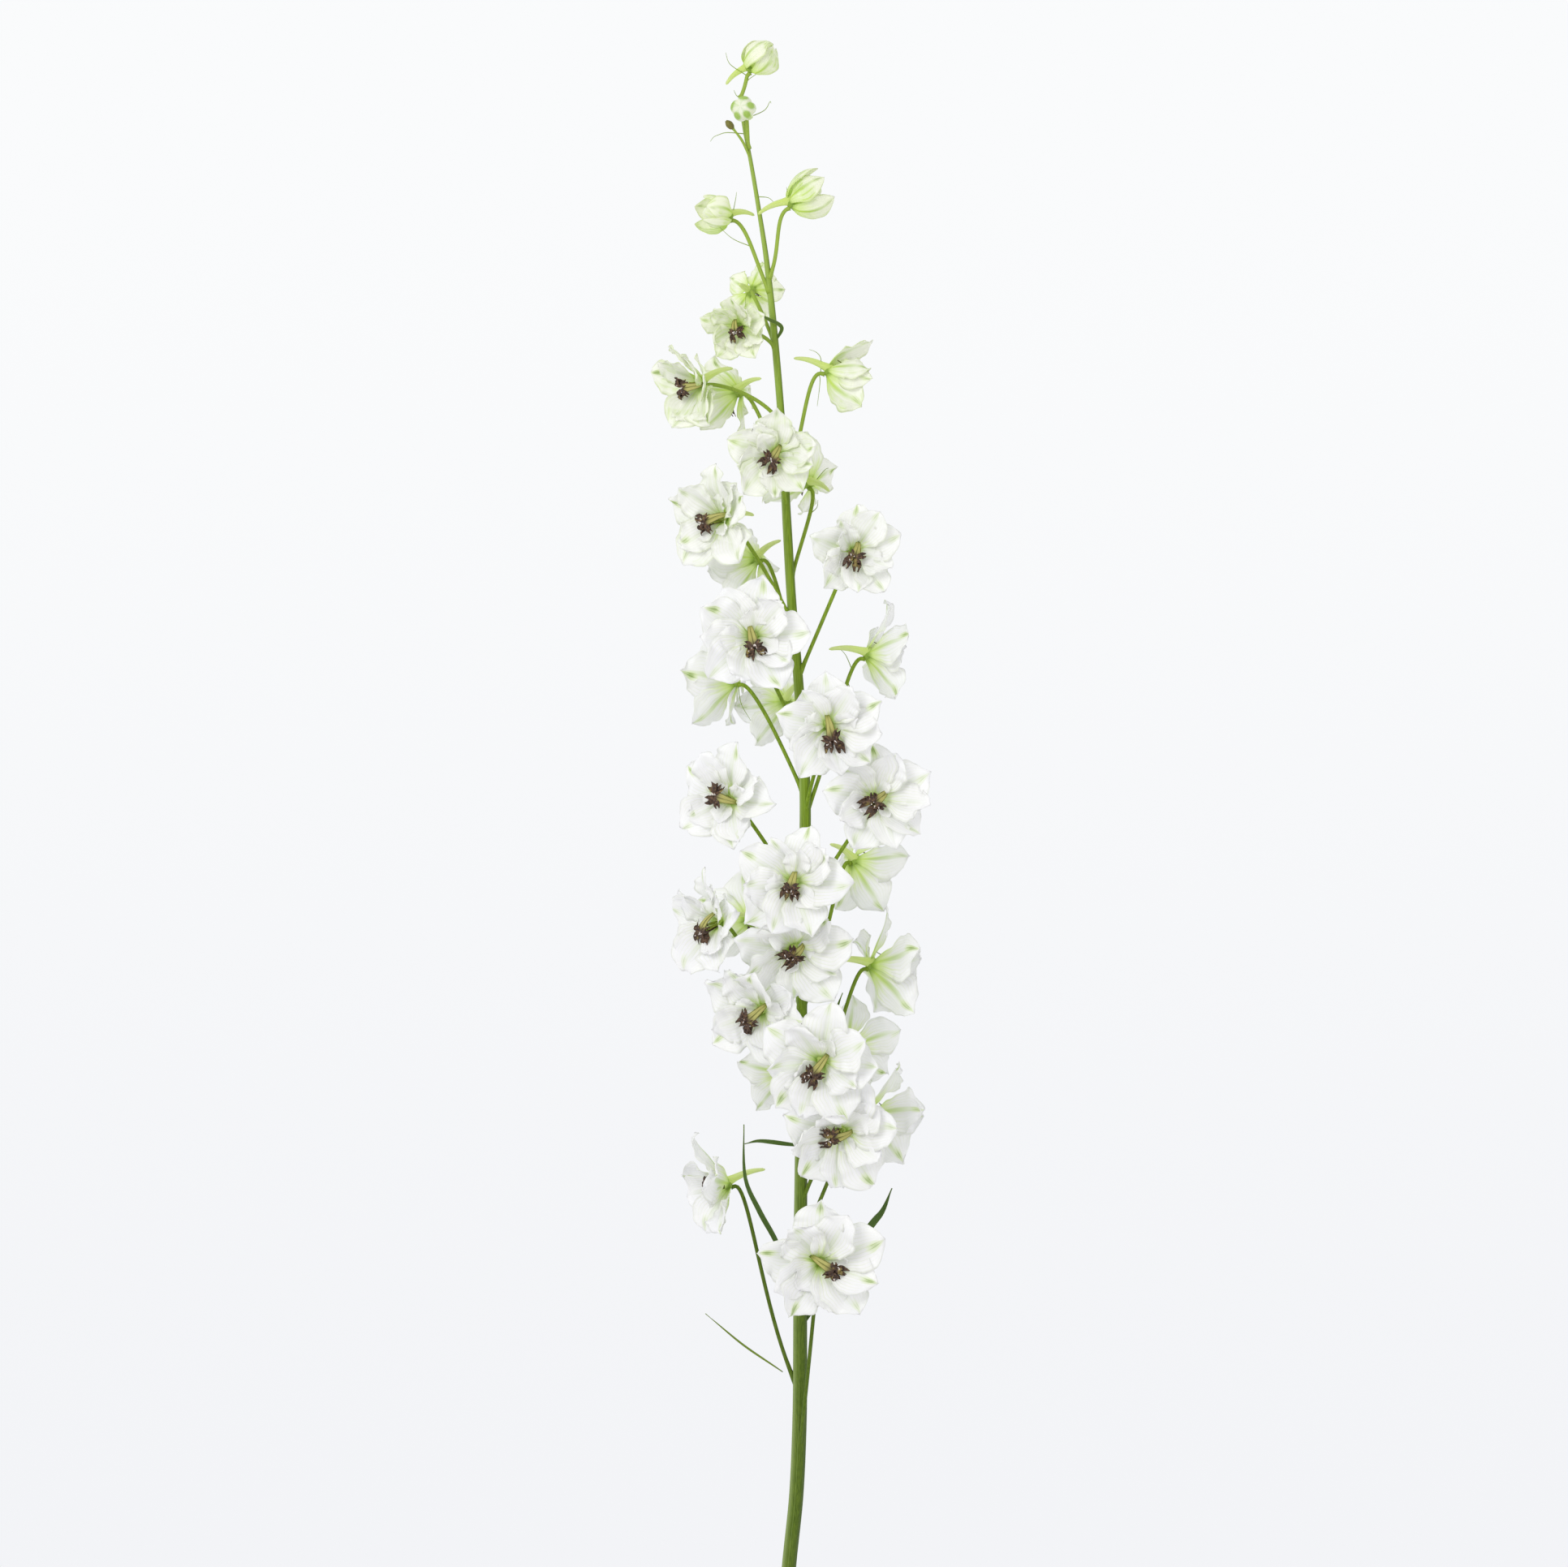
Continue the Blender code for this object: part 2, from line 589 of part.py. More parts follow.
def green_pieces():
    """The shaft with its stalks, bracts and withered bud."""
    corners, faces = tube([Vector(row[:3]) for row in SHAFT], [row[3] for row in SHAFT], SHAFT_SIDES)
    pieces = [([settled(corner, 0.0) for corner in corners], faces)]
    pieces += [stalk(bloom, bloom_axes(bloom)) for bloom in BLOOMS]
    pieces += [bract(points, greatest) for points, greatest in BRACTS]
    places = [Vector(place) for place, _ in WITHERED_BUD]
    pieces.append(tube(places, [row[1] for row in WITHERED_BUD], WITHERED_SIDES))
    return pieces


def bloom_middle(bloom):
    """The pieces of a bloom that its petals grow from."""
    axes = bloom_axes(bloom)
    middle = Vector(bloom.place)
    pieces = [hub(axes, middle), spur(axes, middle, bloom.reach)]
    if bloom.opening < BUD_OPENING:
        pieces.append(core(axes, middle, bloom.reach))
    return pieces


def has_heart(bloom):
    """Whether a bloom is open and shows its dark heart."""
    return bloom.opening >= BUD_OPENING and bloom.name not in FACE_DOWN


def place_petals(stem_tree, middles, hearts):
    """The petals of every bloom, the highest bloom first, each bent clear of those before."""
    ways = bending_ways()
    middle_trees = {name: search_tree(pieces) for name, pieces in middles.items()}
    heart_trees = {name: search_tree([piece]) for name, piece in hearts.items()}
    petal_trees = {}
    petals = {}
    for bloom in sorted(BLOOMS, key=lambda row: -row.place[2]):
        others = [stem_tree] + list(petal_trees.values())
        others += [tree for name, tree in middle_trees.items() if name != bloom.name]
        others += [tree for name, tree in heart_trees.items() if name != bloom.name]
        axes = bloom_axes(bloom)
        middle = Vector(bloom.place)
        placed = [clear_petal(axes, middle, petal, ways, others) for petal in bloom_petals(bloom)]
        petals[bloom.name] = [piece for piece in placed if piece]
        petal_trees[bloom.name] = search_tree(petals[bloom.name])
    return petals


def main():
    for obj in list(bpy.data.objects):
        bpy.data.objects.remove(obj)
    green = green_pieces()
    middles = {bloom.name: bloom_middle(bloom) for bloom in BLOOMS}
    hearts = {}
    for bloom in BLOOMS:
        if has_heart(bloom):
            hearts[bloom.name] = heart(bloom_axes(bloom), Vector(bloom.place), bloom.reach)
    petals = place_petals(search_tree(green), middles, hearts)
    solid("stem", green, material("leaf green", LEAF_GREEN, 0.5))
    for bloom in BLOOMS:
        colour = BUD_GREEN if bloom.opening < BUD_OPENING else PETAL_WHITE
        pieces = middles[bloom.name] + petals[bloom.name]
        solid(bloom.name, pieces, material(f"{bloom.name} petals", colour, 0.6))
    for name, piece in hearts.items():
        solid(f"{name}_heart", [piece], material(f"{name} heart", HEART_BROWN, 0.8))


main()
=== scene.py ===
"""The cut white delphinium spike as it looks: ruffled thin petals, dark hearts, ridged stem.

Lengths are in millimetres and in the frame of the solids, scaled to metres at the end. The tables
place each bloom, and each petal is bent clear as in the solids, so the fine pieces lie where the
solids are.
"""

import math
import random
from collections import namedtuple

import bpy
import numpy as np
from mathutils import Matrix, Vector
from mathutils.bvhtree import BVHTree
from mathutils.geometry import interpolate_bezier


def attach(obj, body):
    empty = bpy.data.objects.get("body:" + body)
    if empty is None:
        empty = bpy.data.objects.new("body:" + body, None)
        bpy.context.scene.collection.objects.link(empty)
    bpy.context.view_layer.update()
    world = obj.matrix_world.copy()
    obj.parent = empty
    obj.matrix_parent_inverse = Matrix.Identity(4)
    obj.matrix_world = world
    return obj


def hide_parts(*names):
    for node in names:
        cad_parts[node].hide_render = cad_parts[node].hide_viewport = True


MM = 0.001

# Petals. Leans are degrees away from the bloom's axis.
PETAL_THICKNESS = 1.2  # at the rib, thinning to the rim
PETAL_WIDTH = 0.4  # half width over length
BUD_WIDTH = 0.8  # a closed petal's width over an open one's
CLAW = 0.11  # half width at the root over the greatest half width
BELLY_PLACE = 1.3  # above 1 the widest place moves towards the tip
BELLY_FULLNESS = 0.9  # lower is fuller
PETAL_ROOT = 1.9  # from the axis
SEPALS = 5
SEPAL_STATIONS = (0.0, 0.4, 0.78, 1.0)
SEPAL_ROOT_HEIGHT = -1.0
INNER_STATIONS = (0.0, 0.6, 1.0)
INNER_ROOT_HEIGHT = 0.7
INNER_SHARE = 0.84  # inner petal length over sepal length
INNER_UPRIGHT = 13.0  # how much more upright an inner petal's root stands
INNER_CLOSING = 32.0  # and its tip, on a fully open bloom
INNER_PETALS = 5
SIDE_INNER_PETALS = 4
HIDDEN_INNER_PETALS = 2
ROOT_LEAN = 75.0
ROOT_LEAN_CLOSING = 25.0
BUD_TIP_LEAN = -75.0
OPEN_TIP_LEAN = 100.0
BUD_CUP = 0.4
OPEN_CUP = 0.16
WAVE_RATE = 9.0  # radians of wave along a petal's rim
BUD_OPENING = 0.4  # below this a bloom is a bud with a packed core and no inner petals

# Bending clear
CLEARANCE = 0.45  # left free round a petal
ROOT_BEND = 0.4  # how much of a bend its root takes
BENDS = (0, -8, 8, -16, 16, -25, 25, -35, 35, -48, 48)
SWINGS = (0, -8, 8, -16, 16)
SCALES = (1.0, 0.92, 0.83, 0.73, 0.62, 0.5)
BEND_COST = 0.1
SWING_COST = 0.11
SCALE_COST = 16.0

# The middle of a bloom
HUB_RADIUS = 2.9
HUB_BACK = -2.2
HUB_BACK_SHARE = 0.8  # its flat back's radius over its own
HUB_FRONT = 1.5
HUB_FRONT_SHARE = 0.85
HUB_SIDES = 5
SEAT_GAP = 0.3  # between the hub and what sits on it, and between the hub and its stalk
SPUR_LENGTH = 0.68  # over sepal length
SPUR_RADIUS = 1.9
SPUR_SIDES = 4
SPUR_SEAT = 1.4  # above the axis
SPUR_SUNK = 0.4
SPUR_ARCH = 2.2
SPUR_SWEEP = 2.4  # radians of arch along it
SPUR_STATIONS = ((0.0, 1.0), (0.33, 0.85), (0.72, 0.58), (1.0, 0.36))  # share along, radius
FULL_REACH = 30.0  # the sepal length of a full bloom
SMALL_SPUR = 0.7  # the thickness of the smallest spur
CORE_STATIONS = ((0.0, 0.1), (0.3, 0.3), (0.62, 0.12))  # over sepal length
CORE_SIDES = 5
HEART_LOBES = 4
HEART_RINGS = ((0.0, 1.5, 1.3), (3.6, 3.0, 2.0), (8.4, 5.6, 3.2))  # height, at a lobe, at a fold
HEART_RUFFLE = -1.6  # how much lower the folds are at the top
HEART_DROOP = 1.3  # how far its top hangs below the axis
HEART_PIT = 3.2
HEART_FULL_REACH = 27.0  # smaller blooms have smaller hearts

# Stem and stalks
SHAFT_SIDES = 8
STALK_SIDES = 3
STALK_RADIUS = 0.95
STALK_TAPER = 1.15  # its root's radius over its end's
STALK_SEAT = 1.7  # below the axis
STALK_POINTS = 5
STALK_COLLAR = 1.5  # its straight end
STALK_RISE = 0.38  # the share of its span that it follows the shaft
STALK_SPREAD = 0.5  # how far it leaves sideways while it does
STALK_ARRIVAL = 9.0
BRACT_THICKNESS = 0.8
BRACT_ROOT_SHARE = 0.6

# Fine petals
ROWS = 28
COLUMNS = 15
RIM_THICKNESS = 0.16
RIB_THICKNESS = 0.5
TIP_WIDTH = 0.012  # half width at the very tip over the greatest half width
TWIST = 14  # the most degrees that a petal twists along its length
CURL_START = 0.66  # the share of its length where its tip begins to curl
RIM_WOBBLES = ((0.07, 5.5), (0.05, 11.0), (0.032, 24.0))  # size over half width, rate
RUFFLES = ((1.0, 1.6, 2.8), (0.6, 3.4, 5.0), (0.3, 6.5, 8.5))  # size, least and greatest rate
SWELL = 0.016  # over length, as the next two
PLEAT = 0.009
PINCH = (0.01, 0.05)
CREASES = 2
GROOVE = 0.3  # how deep the line along its middle is
LIPS = 3  # small petals round the throat of a full bloom
LIPPED_OPENING = 0.8  # how open a full bloom is, at least
LOWEST = 0.15  # nothing fine lies lower than this above the surface

# The round bud that is seen from its tip
LOBED_BUD = "bud_02"
LOBED_BUD_LOBES = 5
LOBED_BUD_RINGS = 26
LOBED_BUD_SIDES = 60
LOBED_BUD_RADIUS = 0.44  # over its reach
LOBED_BUD_TURN = (-0.35, 0.3, 0.0)  # how far its tip looks aside
LOBED_BUD_SEAM = 0.26  # how far the seams sink between its lobes
LOBED_BUD_DIMPLE = 0.22

# Youth: petals and stalks are greener from the first place along the shaft to the second.
YOUNG_PETALS = (100.0, 330.0)
YOUNG_STALKS = (60.0, 330.0)
YOUTH = 0.85  # of the topmost blooms; buds have 1

# Fine hub and spur
TUBE_SIDES = 14
FINE_HUB = ((-2.2, 0.5), (-1.65, 0.8), (-0.66, 0.92), (0.0, 0.92), (0.9, 0.85), (1.5, 0.5))
FINE_SPUR_POINTS = 20
FINE_SPUR_ROOT = -0.1  # where it starts, over its length
SPUR_SWAY = 1.2
SPUR_RIDGES = 5
SPUR_RIDGE = 0.05  # over radius

# Fine stem
SHAFT_POINTS = 260
FINE_SHAFT_SIDES = 36
SHAFT_RIDGES = 9
SHAFT_RIDGE = 0.035
FINE_STALK_POINTS = 22
STALK_RIDGES = 4
STALK_RIDGE = 0.04
BRACT_ROWS = 24
BRACT_COLUMNS = 7
THIN_BRACT = 0.5  # a bract with less than this half width is pale
FINE_BRACT_THICKNESS = 0.45
WITHERED_POINTS = 24
WITHERED_STALK = 11  # how many of them are its stalk
HAIR_POINTS = 18
HAIR_RADII = (0.27, 0.1)
HAIR_RISE = 0.9  # how much higher each of its places is than the one before

# Fine hearts
HEART_FORWARD = 8.0  # how far the dark lobes stand in front of the hub
HEART_GREATEST_LEAN = 8.5
HEART_LEAST_LEAN = 0.5  # below this it hangs straight down
HIDDEN_HEART_LEAN = 3.0
STRAP_RISE = 6.5  # how far above its foot the strap starts
LOBE_ROWS = 12
LOBE_COLUMNS = 9
LOBE_WAVES = 4
TUFTS = 6
STAMENS = 11
STAMEN_RADIUS = 0.2
DARK_KNOBS = 0.35  # the share of the stamens whose knobs are dark

# Tones of a heart: how brown, how green, how pale.
DARK = (1.0, 0.0, 0.0, 1.0)
STRAP = (0.55, 0.45, 0.0, 1.0)
PALE = (0.0, 0.0, 1.0, 1.0)
STAMEN = (0.0, 1.0, 0.25, 1.0)

# Painted glow: light of their own colour that the petals give off, standing in for the light that thin
# petals pass on inside the bloom
PETAL_GLOW = 0.07
THROAT_GLOW = 0.24
BLACK = (0.0, 0.0, 0.0, 1.0)

# The green spot near a petal's tip: its place along, its size, and how it varies
SPOT_PLACE = 0.82
SPOT_DRIFT = 0.08
SPOT_SWAY = 0.5
SPOT_SHORT = 5.5
SPOT_NARROW = 3.4
SPOT_RAGGED = 1.1
SPOT_VEINED = 0.3

# Sockets of a colour mix
MIX_FACTOR = 0
MIX_FIRST = 6
MIX_SECOND = 7
MIX_RESULT = 2

# The floor and the camera, in metres. The camera sees this width at this height.
FLOOR = 6.0
CAMERA_PLACE = (-0.0028, 0.0318)
CAMERA_HEIGHT = 4.0
SEEN_WIDTH = 0.7728
SEEN_HEIGHT = 0.04

# The shaft from the cut end to the tip: across, along, height of its middle, radius. Its first
# stretch lies flat on the surface.
SHAFT = [
    (-4.0, -400.0, 3.23, 3.5),
    (-3.2, -390.0, 3.23, 3.5),
    (0.0, -354.0, 6.0, 3.5),
    (3.4, -320.0, 10.5, 3.5),
    (5.0, -280.0, 16.5, 3.5),
    (5.2, -240.0, 22.5, 3.4),
    (5.2, -200.0, 28.0, 3.3),
    (5.6, -160.0, 33.0, 3.1),
    (5.8, -120.0, 37.0, 2.9),
    (5.8, -78.0, 40.0, 2.8),
    (6.8, -26.0, 42.0, 2.8),
    (7.6, 26.0, 42.5, 2.7),
    (4.6, 78.0, 42.0, 2.4),
    (1.2, 118.0, 41.0, 2.3),
    (-1.2, 158.0, 39.0, 2.2),
    (-4.0, 210.0, 36.0, 1.8),
    (-8.0, 258.0, 32.5, 1.7),
    (-11.4, 290.0, 30.0, 1.3),
    (-15.0, 314.0, 28.0, 1.1),
    (-19.0, 338.0, 26.0, 1.0),
    (-22.6, 357.0, 24.5, 0.9),
    (-24.6, 372.0, 23.5, 0.8),
]

# One row a bloom, counted from the tip down. place: its hub. facing: right, along, up.
# opening: 0 is a tight bud and 1 a flat open bloom. reach: sepal length. joint: where its stalk
# leaves the shaft, along Y. roll: its upper sepal's turn round the axis, in degrees.
Bloom = namedtuple("Bloom", "name place facing opening reach joint roll")
BLOOMS = [
    Bloom("bud_01", (-19.4, 386.0, 25.0), (0.68, 0.69, 0.25), 0.04, 21.0, 371.0, 0),
    Bloom("bud_02", (-21.8, 363.5, 38.0), (0.05, -0.1, 1.0), 0.0, 14.5, 346.0, 20),
    Bloom("bud_04", (-30.4, 312.2, 30.0), (-0.9, 0.15, 0.42), 0.24, 20.0, 274.0, 0),
    Bloom("bud_05", (0.8, 318.6, 30.0), (0.85, 0.47, -0.15), 0.2, 25.0, 281.0, 0),
    Bloom("bloom_06", (-19.0, 276.0, 14.0), (0.25, -0.1, -0.95), 0.75, 17.0, 247.0, -60),
    Bloom("bloom_07", (-24.6, 256.6, 46.0), (-0.3, -0.25, 0.92), 0.64, 20.0, 246.0, 0),
    Bloom("bloom_08", (19.5, 235.2, 32.0), (0.97, -0.2, -0.1), 0.42, 26.5, 180.0, 0),
    Bloom("bloom_09", (-43.0, 228.8, 48.0), (-0.78, -0.25, 0.56), 0.72, 28.0, 208.0, 0),
    Bloom("bloom_10", (-26.0, 225.2, 25.0), (-0.66, -0.2, -0.7), 0.68, 25.0, 184.0, 0),
    Bloom("bloom_11", (-7.6, 193.0, 64.0), (0.0, -0.12, 1.0), 0.82, 25.0, 168.0, 0),
    Bloom("bloom_12", (9.2, 180.4, 20.0), (-0.5, 0.4, -0.77), 0.8, 25.0, 131.0, 0),
    Bloom("bloom_13", (-32.0, 161.6, 54.0), (-0.66, 0.02, 0.75), 0.85, 30.0, 110.0, 0),
    Bloom("bloom_14", (-16.4, 142.4, 23.0), (-0.66, -0.35, -0.66), 0.72, 27.0, 97.0, 0),
    Bloom("bloom_15", (30.8, 145.2, 58.0), (0.2, 0.0, 0.98), 0.88, 25.0, 84.0, 0),
    Bloom("bloom_16", (-18.0, 103.2, 74.0), (-0.05, 0.05, 1.0), 0.95, 31.0, 48.0, -10),
    Bloom("bloom_17", (38.8, 95.2, 26.5), (0.94, 0.0, -0.3), 0.8, 29.0, 16.0, 0),
    Bloom("bloom_18", (-27.2, 82.0, 25.0), (-0.84, -0.1, -0.5), 0.75, 29.0, 25.0, 0),
    Bloom("bloom_19", (-2.0, 72.0, 17.0), (-0.4, -0.35, -0.85), 0.8, 27.0, 40.0, 0),
    Bloom("bloom_20", (18.8, 60.0, 77.0), (0.08, -0.05, 1.0), 0.95, 29.0, 16.0, 8),
    Bloom("bloom_21", (-28.5, 24.0, 58.0), (-0.5, 0.05, 0.86), 0.92, 29.0, -30.0, -20),
    Bloom("bloom_22", (42.0, 24.0, 62.0), (0.2, 0.05, 0.98), 0.96, 29.0, -34.0, 10),
    Bloom("bloom_23", (31.6, -6.8, 28.0), (0.62, -0.3, -0.72), 0.8, 28.0, -80.0, 0),
    Bloom("bloom_24", (2.0, -16.8, 80.0), (-0.1, 0.05, 1.0), 0.96, 31.0, -56.0, -15),
    Bloom("bloom_25", (-34.4, -36.8, 54.0), (-0.8, -0.05, 0.6), 0.88, 30.0, -112.0, 0),
    Bloom("bloom_26", (-20.4, -36.0, 16.0), (-0.3, 0.05, -0.95), 0.8, 26.0, -92.0, 0),
    Bloom("bloom_27", (2.0, -48.5, 65.0), (0.05, -0.35, 0.94), 0.92, 32.0, -84.0, 0),
    Bloom("bloom_28", (40.0, -58.0, 34.0), (0.88, 0.02, -0.45), 0.9, 32.5, -142.0, 0),
    Bloom("bloom_29", (-13.0, -79.2, 62.0), (-0.42, -0.2, 0.88), 0.9, 30.0, -122.0, -20),
    Bloom("bloom_30", (-3.0, -112.0, 16.0), (-0.35, -0.1, -0.93), 0.8, 23.0, -150.0, 0),
    Bloom("bloom_31", (15.8, -103.8, 76.0), (-0.12, -0.2, 0.97), 0.94, 33.0, -152.0, -15),
    Bloom("bloom_32", (39.6, -131.6, 28.0), (0.8, -0.15, -0.55), 0.78, 30.0, -196.0, 0),
    Bloom("bloom_33", (30.0, -98.0, 17.0), (0.35, 0.25, -0.9), 0.8, 25.0, -128.0, 0),
    Bloom("bloom_34", (25.2, -137.5, 64.0), (0.02, -0.35, 0.93), 0.92, 31.0, -178.0, -10),
    Bloom("bloom_35", (-31.0, -166.8, 22.0), (-0.9, -0.2, 0.25), 0.8, 30.0, -270.0, 0),
    Bloom("bloom_36", (14.8, -203.0, 54.0), (0.12, -0.05, 0.98), 0.95, 34.0, -304.0, 5),
]

# Blooms whose face is pressed down, which have no dark heart of their own.
FACE_DOWN = ("bloom_06", "bloom_10", "bloom_12", "bloom_18", "bloom_19", "bloom_26")
FACE_DOWN += ("bloom_30", "bloom_33")

# The upward parts of facings below which a bloom is pressed down, and above which it turns its
# side or its whole face up.
PRESSED_FACING = -0.5
SIDE_FACING = 0.3
FULL_FACING = 0.9

# Bud 3 withered while it was small: places and radii along its stalk and body.
WITHERED_BUD = [
    ((-19.6, 341.0, 25.8), 0.5),
    ((-23.2, 349.0, 29.0), 0.7),
    ((-27.4, 354.6, 31.0), 0.6),
    ((-28.6, 356.0, 31.6), 1.5),
    ((-30.0, 357.6, 32.2), 1.7),
    ((-31.4, 359.0, 32.8), 0.6),
]
WITHERED_SIDES = 5

# Bracts on the shaft and its stalks: points along the middle, and the greatest half width.
BRACTS = [
    ([(5, -224, 25), (-6, -196, 31), (-15, -179, 36), (-22, -162, 41), (-22.5, -136, 46)], 1.2),
    ([(5.6, -147, 34), (-2, -146, 36), (-9, -145, 37), (-16, -144.6, 37), (-22.2, -146, 36)], 1.0),
    ([(5, -238, 23), (22, -212, 23), (40, -187, 28), (46, -179, 31), (50.5, -168, 34)], 1.7),
    ([(5.8, -118, 37), (14, -100, 46), (21.5, -82.5, 52), (26, -71, 55)], 1.0),
    ([(-6.5, 251, 33), (-4, 257, 36), (-11, 261, 39), (-18, 264, 41)], 0.9),
    ([(-3.4, -259.6, 22), (-23.6, -245.4, 26), (-41.6, -230, 32)], 0.45),
]

# How far the dark lobes of a heart hang from the hub as the camera sees them: right, along.
HEART_LEANS = {
    "bloom_07": (-2.0, -3.0),
    "bloom_08": (8.0, -2.0),
    "bloom_09": (-13.0, -3.6),
    "bloom_11": (-1.2, -3.0),
    "bloom_13": (-12.0, -1.5),
    "bloom_14": (-5.0, -4.0),
    "bloom_15": (0.8, -2.4),
    "bloom_16": (0.8, -4.8),
    "bloom_17": (8.0, -2.0),
    "bloom_20": (2.0, -7.0),
    "bloom_21": (-8.6, 1.6),
    "bloom_22": (-0.8, -1.6),
    "bloom_23": (5.0, -4.0),
    "bloom_24": (-1.6, -2.8),
    "bloom_25": (-10.0, -4.4),
    "bloom_27": (-0.4, -4.0),
    "bloom_28": (7.0, -2.0),
    "bloom_29": (-8.6, -6.0),
    "bloom_31": (-5.0, -7.0),
    "bloom_32": (6.0, -3.0),
    "bloom_34": (-4.6, -4.2),
    "bloom_35": (-11.0, -2.4),
    "bloom_36": (6.6, -4.2),
}

# Hair-like bracteoles, as the camera sees them: across and along, in millimetres.
HAIRS = [
    [(-31.6, 393.2), (-30.4, 389.0), (-28.0, 386.4), (-25.6, 385.2)],
    [(-23.6, 373.6), (-21.0, 379.2), (-17.6, 382.0), (-12.8, 385.2), (-13.0, 389.0)],
    [(-27.6, 374.8), (-26.4, 372.4), (-25.2, 370.4)],
    [(-16.0, 360.8), (-12.6, 364.2), (-9.8, 368.4), (-9.2, 367.6)],
    [(-26.8, 352.8), (-31.0, 353.8), (-35.2, 352.6), (-37.6, 351.4), (-39.2, 349.2)],
    [(-34.8, 306.8), (-28.0, 301.0), (-24.8, 294.0)],
    [(-28.0, 315.6), (-26.8, 320.0), (-26.2, 324.0)],
    [(-14.0, 323.2), (-10.6, 321.4), (-7.6, 318.8)],
    [(-1.2, 318.0), (-0.8, 322.0), (-1.6, 326.4)],
    [(-22.0, 268.0), (-21.4, 274.0), (-22.0, 278.4)],
    [(9.6, 246.0), (13.2, 244.6), (15.4, 241.4), (15.6, 237.2)],
    [(14.0, 236.0), (15.0, 231.6), (14.6, 226.0), (13.6, 218.0)],
    [(-40.4, 219.2), (-37.0, 219.4), (-33.2, 220.0), (-28.0, 218.8)],
    [(14.4, 185.2), (17.0, 186.6), (19.2, 188.0)],
    [(14.0, 172.0), (13.4, 168.2), (12.0, 164.0)],
    [(-32.0, 156.0), (-28.6, 151.4), (-24.4, 146.0)],
    [(24.8, 98.4), (27.8, 95.0), (29.6, 90.0)],
    [(30.8, 80.8), (30.4, 75.6), (29.2, 70.0)],
    [(-27.6, 79.6), (-24.0, 71.4), (-19.2, 62.8)],
]

UPWARD = Vector((0.0, 0.0, 1.0))
ALONG = Vector((0.0, 1.0, 0.0))
ACROSS = Vector((1.0, 0.0, 0.0))
STEEP = 0.8  # the rise above which a tube is measured from ACROSS and not from UPWARD

# How a petal grows: its angle round the axis, the height of its root, its length, the leans of
# root and tip, the tilt that lays it over its neighbour, the shares of its half width and length
# that cup it and wave its rim, and the shares of its length where its outline has points.
Petal = namedtuple(
    "Petal", "angle root_height length root_lean tip_lean shingle cup wave stations"
)

# How a fine petal differs from that: the fullness of its end, how blunt and notched it is, its
# ruffle and creases over its length, its tip's curl in degrees, and its layer's height.
Form = namedtuple("Form", "point blunt notch ruffle crease curl layer")

# Where a fine heart sits: its foot, the middle of its dark lobes, both ends of its strap, the
# directions that it hangs in, spreads in and faces, and its size.
Seat = namedtuple("Seat", "foot centre start end hang beside facing size")


def unit(vector):
    """The direction of a vector."""
    return Vector(vector).normalized()


def mix(start, end, share):
    """A value between two others."""
    return start + (end - start) * share


def settled(point, lowest):
    """A point kept above the surface that the spike lies on."""
    return Vector((point.x, point.y, max(point.z, lowest)))


def shaft_at(along):
    """The middle of the shaft at a place along Y."""
    for low, high in zip(SHAFT, SHAFT[1:]):
        if along <= high[1]:
            share = (along - low[1]) / (high[1] - low[1])
            return Vector(low[:3]).lerp(Vector(high[:3]), share)
    return Vector(SHAFT[-1][:3])


def bloom_axes(bloom):
    """Right, up and facing directions: up is towards the spike's tip before its roll."""
    facing = unit(bloom.facing)
    up = unit(ALONG - facing * facing.y)
    up = Matrix.Rotation(math.radians(bloom.roll), 3, facing) @ up
    return up.cross(facing), up, facing


def tube(points, radii, sides):
    """A closed tube along points, as vertices and triangles, with a flat side down."""
    along = unit(points[1] - points[0])
    side = unit(along.cross(UPWARD if abs(along.z) < STEEP else ACROSS))
    corners = []
    for i, point in enumerate(points):
        along = unit(points[min(i + 1, len(points) - 1)] - points[max(i - 1, 0)])
        side = unit(side - along * side.dot(along))
        top = side.cross(along)
        for k in range(sides):
            angle = math.tau * (k + 0.5) / sides
            corners.append(point + (side * math.sin(angle) + top * math.cos(angle)) * radii[i])
    faces = []
    for i in range(len(points) - 1):
        faces += band(i * sides, sides)
    last = (len(points) - 1) * sides
    for k in range(1, sides - 1):
        faces.append((0, k + 1, k))
        faces.append((last, last + k, last + k + 1))
    return corners, faces


def band(start, sides):
    """Triangles between the ring of vertices from start and the ring after it."""
    faces = []
    for k in range(sides):
        here = start + k
        beside = start + (k + 1) % sides
        faces.append((here, beside, beside + sides))
        faces.append((here, beside + sides, here + sides))
    return faces


def blade(rows, tip):
    """A closed blade from rows of left, top, right and bottom points, and its tip.

    Top and bottom are split along the same diagonals, so a waved blade never cuts itself.
    """
    corners = [point for row in rows for point in row]
    corners.append(tip)
    faces = [(0, 1, 2), (0, 2, 3)]
    for i in range(len(rows) - 1):
        left, top, right, bottom = range(4 * i, 4 * i + 4)
        for rim in (left, right):
            for rib in (top, bottom):
                faces.append((rim, rib, rib + 4))
                faces.append((rim, rib + 4, rim + 4))
    last = 4 * (len(rows) - 1)
    for k in range(4):
        faces.append((last + k, last + (k + 1) % 4, len(corners) - 1))
    return corners, faces


